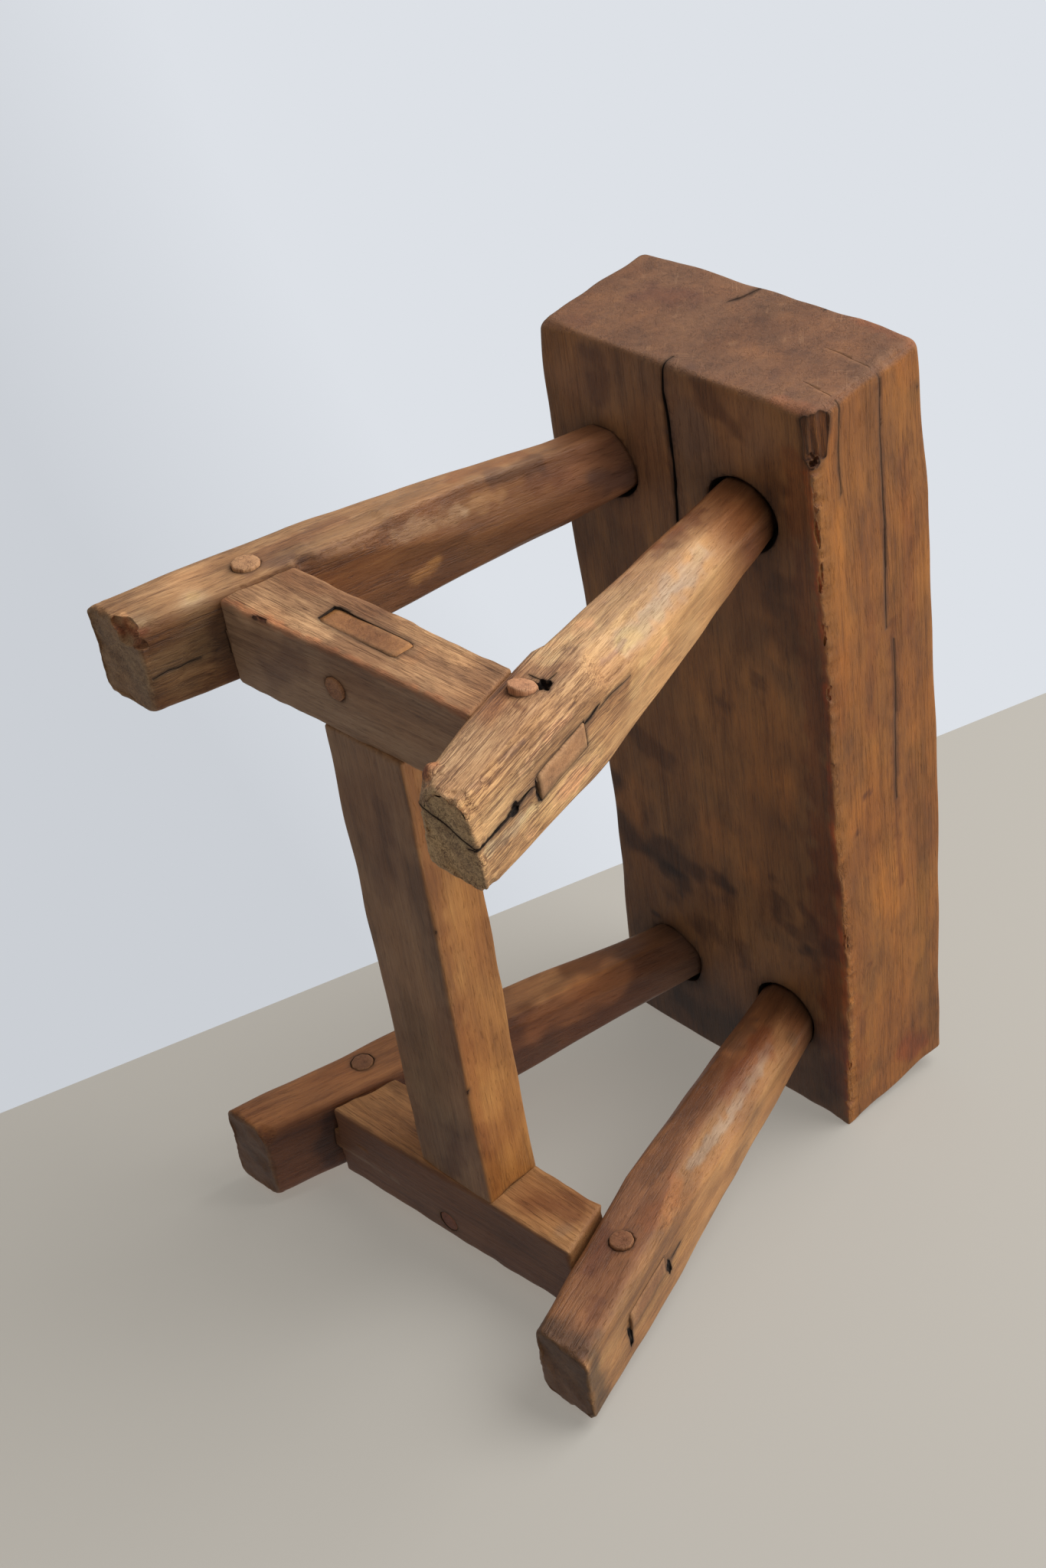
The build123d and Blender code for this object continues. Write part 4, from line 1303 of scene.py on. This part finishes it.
# %% Paint the legs
grey_wood, pale_wood, red_wood = (0.74, 0.72, 0.82), (1.15, 1.17, 1.22), (1.0, 0.74, 0.60)
leg_colours = {
    # the whole leg; its +Y face; its end at the seat; the heights between which that end fades
    # in; its sole; how dry and how mottled it is; then washes
    "front_left": dict(
        tone=(1.36, 1.43, 1.48), side=(1.12, 1.12, 0.98), neck=(0.7, 0.5, 0.38), fade=(226, 268),
        sole=(1.6, 2.0, 2.8), dry=0.85, mottle=0.07,
        washes=[(grey_wood, 3.5, [(218, 121, 42), (218, 123, 24), (218, 124, 13)]),
            # painted highlight in the chisel hollow
            ((1.0, 1.22, 1.6), 4.5, [(184, 124, 46), (185, 128, 27), (189, 132, 8)]),
            # painted highlight along the upper corner facet
            ((0.92, 1.1, 1.62), 8, [(206, 95, 141), (203, 90, 162), (203, 83, 185), (202, 76, 212),
                (202, 70, 230)]),
            ((1.3, 1.42, 1.42), 11, [(217, 82, 106), (216.6, 80, 118), (215, 81, 134)]),
            # painted highlight along the lower corner chamfer
            ((1.6, 1.85, 2.1), 3.2, [(206.8, 123.4, 42), (208, 117, 62), (208.4, 115.4, 74),
                (207, 112.8, 86)]),
            ((1.32, 1.45, 1.5), 9, [(174, 112, 104), (175.5, 119.3, 69), (178.9, 126.6, 38)]),
            ((1.25, 1.42, 1.5), 9, [(186, 102, 138), (187, 98, 152), (188.2, 93.5, 172)]),
            ((0.62, 0.54, 0.54), 9, [(209, 61, 207), (207, 54, 226), (205, 47, 251)]),
            ((0.72, 0.7, 0.68), 7, [(208, 57, 217), (207, 53, 229)]),
            ((1.08, 1.1, 1.06), 11, [(214, 80, 140), (212, 72, 172)]),
            ((0.82, 0.8, 0.95), 2.0, [(208.6, 98, 124), (207, 97, 133), (206, 92.5, 147)]),
            ((0.7, 0.68, 0.8), 1.8, [(216.7, 118.5, 34), (214, 115, 54)]),
            # painted shade under the peg
            ((0.62, 0.52, 0.46), 3.0, [(218.5, 97, 68), (218.5, 102, 66)]),
            ((0.7, 0.62, 0.56), 2.6, [(194.3, 107, 118), (193.5, 104, 134), (191, 99.5, 150)]),
            (pale_wood, 12, [(217, 113, 72), (209, 101, 120), (206, 92, 150)]),
            ((0.86, 0.74, 0.66), 18, [(216, 82, 34), (216, 80, 72)]),
            # painted shade along the foot split
            ((0.35, 0.3, 0.3), 2.2, [(193.5, 131, 12), (193.5, 126, 32), (193, 122, 50)]),
            (grey_wood, 3.5, [(211, 103, 119), (209, 100, 132), (208, 98, 141)]),
            ((0.9, 0.8, 0.74), 16, [(216, 84, 60), (216, 90, 95)]),
            ((0.84, 0.74, 0.68), 10, [(211, 58, 172), (207, 50, 200)]),
            ((0.76, 0.58, 0.48), 12, [(207, 48, 205), (203, 40, 240), (200, 30, 270)]),
            (red_wood, 6, [(219, 98, 12), (218, 100, 4)]),
            ((0.55, 0.42, 0.46), 5, [(219, 96, 8)])]),
    "front_right": dict(
        # side: painted shade on the +Y faces
        tone=(1.16, 1.15, 1.09), side=(0.48, 0.37, 0.26), neck=(1.02, 0.82, 0.8), fade=(215, 275),
        sole=(0.88, 0.98, 1.08), dry=0.5, mottle=0.2,
        washes=[(pale_wood, 16, [(214, -125, 22), (214, -112, 55)]),
            (grey_wood, 6, [(219, -79, 92), (218, -77, 102)]),
            (grey_wood, 7, [(218, -88, 92), (218, -100, 70)]),
            # painted highlights along the upper corner facet
            ((1.6, 2.15, 3.3), 6.5, [(205.5, -69.5, 148), (203.2, -66.3, 168), (201.5, -63, 188)]),
            ((1.4, 1.65, 1.95), 7, [(201, -62, 194), (200.4, -58, 211)]),
            ((0.8, 0.74, 0.78), 9, [(200, -53, 230), (197, -47, 250)]),
            ((0.62, 0.6, 0.66), 9, [(208, -66, 216), (206, -58, 242)]),
            ((0.62, 0.66, 0.85), 12, [(185, -38, 270), (180, -32, 286)]),
            # painted highlight: a pale sheen patch on a corner
            ((2.0, 2.35, 2.2), 6.5, [(177, -66, 153), (181, -65, 165)]),
            ((1.15, 1.08, 1.0), 9, [(213, -77, 160), (210, -71, 195)]),
            ((2.0, 2.1, 2.3), 4.5, [(218, -119, 5), (215, -114, 6.5)]),
            ((1.15, 1.5, 2.0), 30, [(195, -108, 6), (190, -94, 44)]),
            ((0.62, 0.55, 0.55), 14, [(200, -92, 44), (170, -92, 44)]),
            ((0.92, 0.62, 0.56), 8, [(212, -120, 4), (212, -108, 4)]),
            ((0.78, 0.66, 0.6), 10, [(212, -80, 200), (208, -70, 240)]),
            ((0.85, 0.75, 0.7), 8, [(218, -104, 80), (217, -96, 130)])]),
    "back_left": dict(
        tone=(0.84, 0.66, 0.54), side=(1.2, 1.38, 1.22), neck=(0.55, 0.42, 0.36), fade=(235, 278),
        sole=(0.36, 0.3, 0.22), dry=0.3, mottle=0.16,
        # the next two washes are painted highlights along the corner facet
        washes=[((1.5, 1.6, 1.8), 6.5, [(-162, 119, 108), (-162, 106, 150)]),
            ((1.6, 1.85, 2.2), 7.5, [(-162, 102, 160), (-162, 94, 186), (-165, 83, 228),
                (-168, 76, 245)]),
            ((1.25, 1.1, 0.95), 9, [(-160, 110, 90), (-160, 104, 130)]),
            # painted highlight band along the corner facet
            ((1.04, 1.38, 2.4), 5, [(-169, 68, 246), (-171, 76, 222), (-171.5, 86, 188),
                (-169, 91, 164), (-165, 97, 142)]),
            ((0.62, 0.64, 0.74), 8, [(-166, 48, 252), (-165, 54, 232)]),
            ((0.42, 0.46, 0.52), 17, [(-162, 118, 5), (-162, 134, 6), (-190, 144, 8),
                (-208, 146, 8)]),
            ((0.72, 0.62, 0.6), 10, [(-160, 96, 72), (-160, 104, 50)]),
            ((0.72, 0.66, 0.66), 6, [(-160, 122, 36), (-160, 128, 24)]),
            ((0.66, 0.62, 0.6), 4, [(-190, 116, 110), (-188, 132, 55)]),
            ((0.8, 0.62, 0.55), 12, [(-162, 75, 200), (-166, 66, 250)]),
            ((0.68, 0.64, 0.6), 9, [(-164, 56, 215), (-162, 70, 172), (-160.7, 79, 142),
                (-159.4, 87, 112)]),
            ((0.82, 0.82, 0.78), 10, [(-160.4, 118, 60)]),
            ((0.75, 0.82, 0.92), 8, [(-178, 71, 266)])]),
    "back_right": dict(
        # side: painted shade on the +Y faces
        tone=(0.92, 0.68, 0.46), side=(0.46, 0.38, 0.33), neck=(0.52, 0.44, 0.44), fade=(215, 285),
        sole=(0.31, 0.28, 0.26), dry=0.25, mottle=0.12,
        # a lighter upper leg, with a painted highlight along it
        washes=[((1.7, 2.0, 2.4), 18, [(-160, -90, 148), (-163, -76, 200)]),
            ((2.1, 2.3, 2.45), 20, [(-172, -61, 172), (-172, -53, 206), (-170, -47, 232)]),
            ((0.76, 0.78, 0.8), 12, [(-200, -66, 160), (-198, -60, 180)]),
            ((0.5, 0.45, 0.45), 14, [(-175, -104, 36), (-205, -104, 36)]),
            ((1.5, 1.5, 1.2), 5, [(-158, -117, 3)])]),
}


def leg_paint(piece, leg, colours, seed=90):
    """Colours a leg along its length, side by side, and lays its washes."""
    foot = np.array([*leg_axis(leg, 0), 0])
    neck = np.array([*leg_axis(leg, seat_bottom), seat_bottom])
    ahead = (neck - foot) / np.linalg.norm(neck - foot)
    across = np.cross((0, 1, 0), ahead)
    across /= np.linalg.norm(across)

    def tint(points, normals):
        colour = np.ones((len(points), 3)) * np.array(colours["tone"])
        # the +Y faces' tint; on the right legs it is painted shade
        side = np.array(colours["tone"]) * colours["side"]
        colour = blend_colours(colour, side, normals[:, 1] * 2.2 - 0.7)
        low, high = colours["fade"]
        rise = unit((points[:, 2] + 14 * ripple(points, 30, seed + 5) - low) / (high - low))
        colour = blend_colours(colour, colours["neck"], ease(rise))
        patch = ripple(points, 40, seed + 6, (1, 1, 2.4))
        colour *= 1 - 0.30 * np.clip(patch, 0, 0.8)[:, None] * np.array((0.8, 1.0, 1.1))
        colour *= 1 + 0.16 * np.clip(-patch, 0, 0.8)[:, None]
        colour *= 1 + colours["mottle"] * ripple(points, 13, seed + 7, (1, 1, 2.2))[:, None]
        colour = wash(colour, points, colours["washes"], seed + 8)
        sole = unit(-normals[:, 2] * 1.6 - 0.75) * (points[:, 2] < 5)
        return blend_colours(colour, colours["sole"], 0.92 * sole)

    # darker towards the top of the leg, where it enters the seat: dirt and painted shade
    def dirt_and_shade(points, normals):
        return 0.5 * unit(1 - (seat_bottom - points[:, 2]) / 16) ** 2

    def dry(points, normals):
        rise = np.interp(points[:, 2], (0, 100, 130, 170, 230), (1, 0.9, 0.5, 0.25, 0.1))
        return colours["dry"] * rise

    paint(piece, (ahead, across, np.cross(ahead, across)), foot, tint, dry, dirt_and_shade)


for name, leg in legs.items():
    leg_paint(pieces[f"{name}_leg"], leg, leg_colours[name])

# %% [markdown]
# ## Colours of the rails, the stretcher and the pegs
#
# The rails are paler on their outer faces and greyer underneath, the stretcher's sides are
# golden, and each peg has one tone of its own. The same normals and washes give them. The back
# rail's lower face is darkened as painted shade.

# %% Paint the rails, the stretcher and the pegs
bar_colours = {
    # the whole bar, its lower face, its faces to +Y and -Y, and its washes
    "front_rail": dict(
        tone=(1.2, 1.22, 1.25), under=(1.02, 1.13, 1.38), side=(1.2, 1.15, 1.06),
        washes=[((1.5, 1.56, 1.58), 12, [(217, -72, 50), (217, -28, 54)]),
            ((1.36, 1.38, 1.34), 8, [(217, 0, 84), (217, 30, 82), (217, 54, 81)]),
            ((1.22, 1.2, 1.18), 18, [(217, 40, 66), (217, 62, 68)]),
            ((1.2, 1.14, 1.08), 6, [(217, 28, 74), (217, 28, 64)]),
            ((0.78, 0.68, 0.62), 14, [(217, -80, 80), (217, -20, 84)]),
            ((0.86, 0.8, 0.76), 8, [(216, -34, 68), (216, 16, 68)]),
            ((1.1, 0.86, 0.76), 4, [(217, -90, 46), (217, 80, 50)]),
            ((0.72, 0.68, 0.7), 14, [(180, -60, 46), (200, -40, 46)])]),
    "back_rail": dict(
        # under: painted shade on the lower face
        tone=(1.12, 1.02, 0.8), under=(0.48, 0.36, 0.32), side=(0.95, 0.84, 0.68), dry=0.25,
        washes=[((0.85, 0.9, 1.1), 8, [(-160, 73, 60)]),
            ((0.75, 0.66, 0.62), 12, [(-160, 45, 60), (-160, 70, 76)])]),
    "stretcher": dict(
        tone=(1.0, 0.96, 0.86), under=(0.88, 0.91, 1.0), side=(1.2, 1.01, 0.57), dry=0.2,
        washes=[((0.8, 0.72, 0.66), 9, [(-150, 29, 50), (0, 29, 50), (160, 29, 50)]),
            ((0.84, 0.84, 0.8), 26, [(-30, -4, 47), (-150, -4, 47)]),
            ((0.7, 0.6, 0.55), 10, [(-150, 0, 47), (-110, 10, 47)]),
            ((0.8, 0.76, 0.76), 12, [(60, -10, 47), (120, 6, 47)]),
            ((0.98, 0.88, 0.8), 14, [(216, -30, 68), (216, 16, 68)])]),
}


def bar_paint(piece, grain_axes, grain_centre, colours):
    def tint(points, normals):
        colour = np.ones((len(points), 3)) * colours["tone"]
        # the lower face's tint; on the back rail it is painted shade
        colour = blend_colours(colour, colours["under"], facing(normals, 2, -1))
        colour = blend_colours(colour, colours["side"], facing(normals, 1, 0))
        patch = np.clip(ripple(points, 40, 95), 0, 0.6)[:, None]
        colour *= 1 - 0.45 * patch * np.array((0.7, 0.9, 1.0))
        return wash(colour, points, colours["washes"], 97)

    def dry(points, normals):
        level = colours.get("dry", 0.5)
        return level * (1 - 0.7 * facing(normals, 2, 0)) * (1 - 0.8 * facing(normals, 1, 0))

    paint(piece, grain_axes, grain_centre, tint, dry)


for end, rail in rails.items():
    bar_paint(pieces[f"{end}_rail"], along_y, (0, 50 * rail["out"], 40), bar_colours[f"{end}_rail"])
bar_paint(stretcher, along_x, (40, 10, 60), bar_colours["stretcher"])
for host, (place, axis, *_, tone) in peg_places.items():
    paint(pieces[f"{host}_peg"], along_z if axis else along_x, place,
          lambda points, normals: np.ones((len(points), 3)) * tone, 0.4)

# %% [markdown]
# ## Hand over to the frame
#
# Every worn piece rides on the one rigid body and hides the plain solid that it stands for.

# %% Fit the pieces to the frame
for node, piece in pieces.items():
    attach(piece, "root")
    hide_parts(node)
print("triangles:", sum(sum(len(f.vertices) - 2 for f in p.data.polygons) for p in pieces.values()))
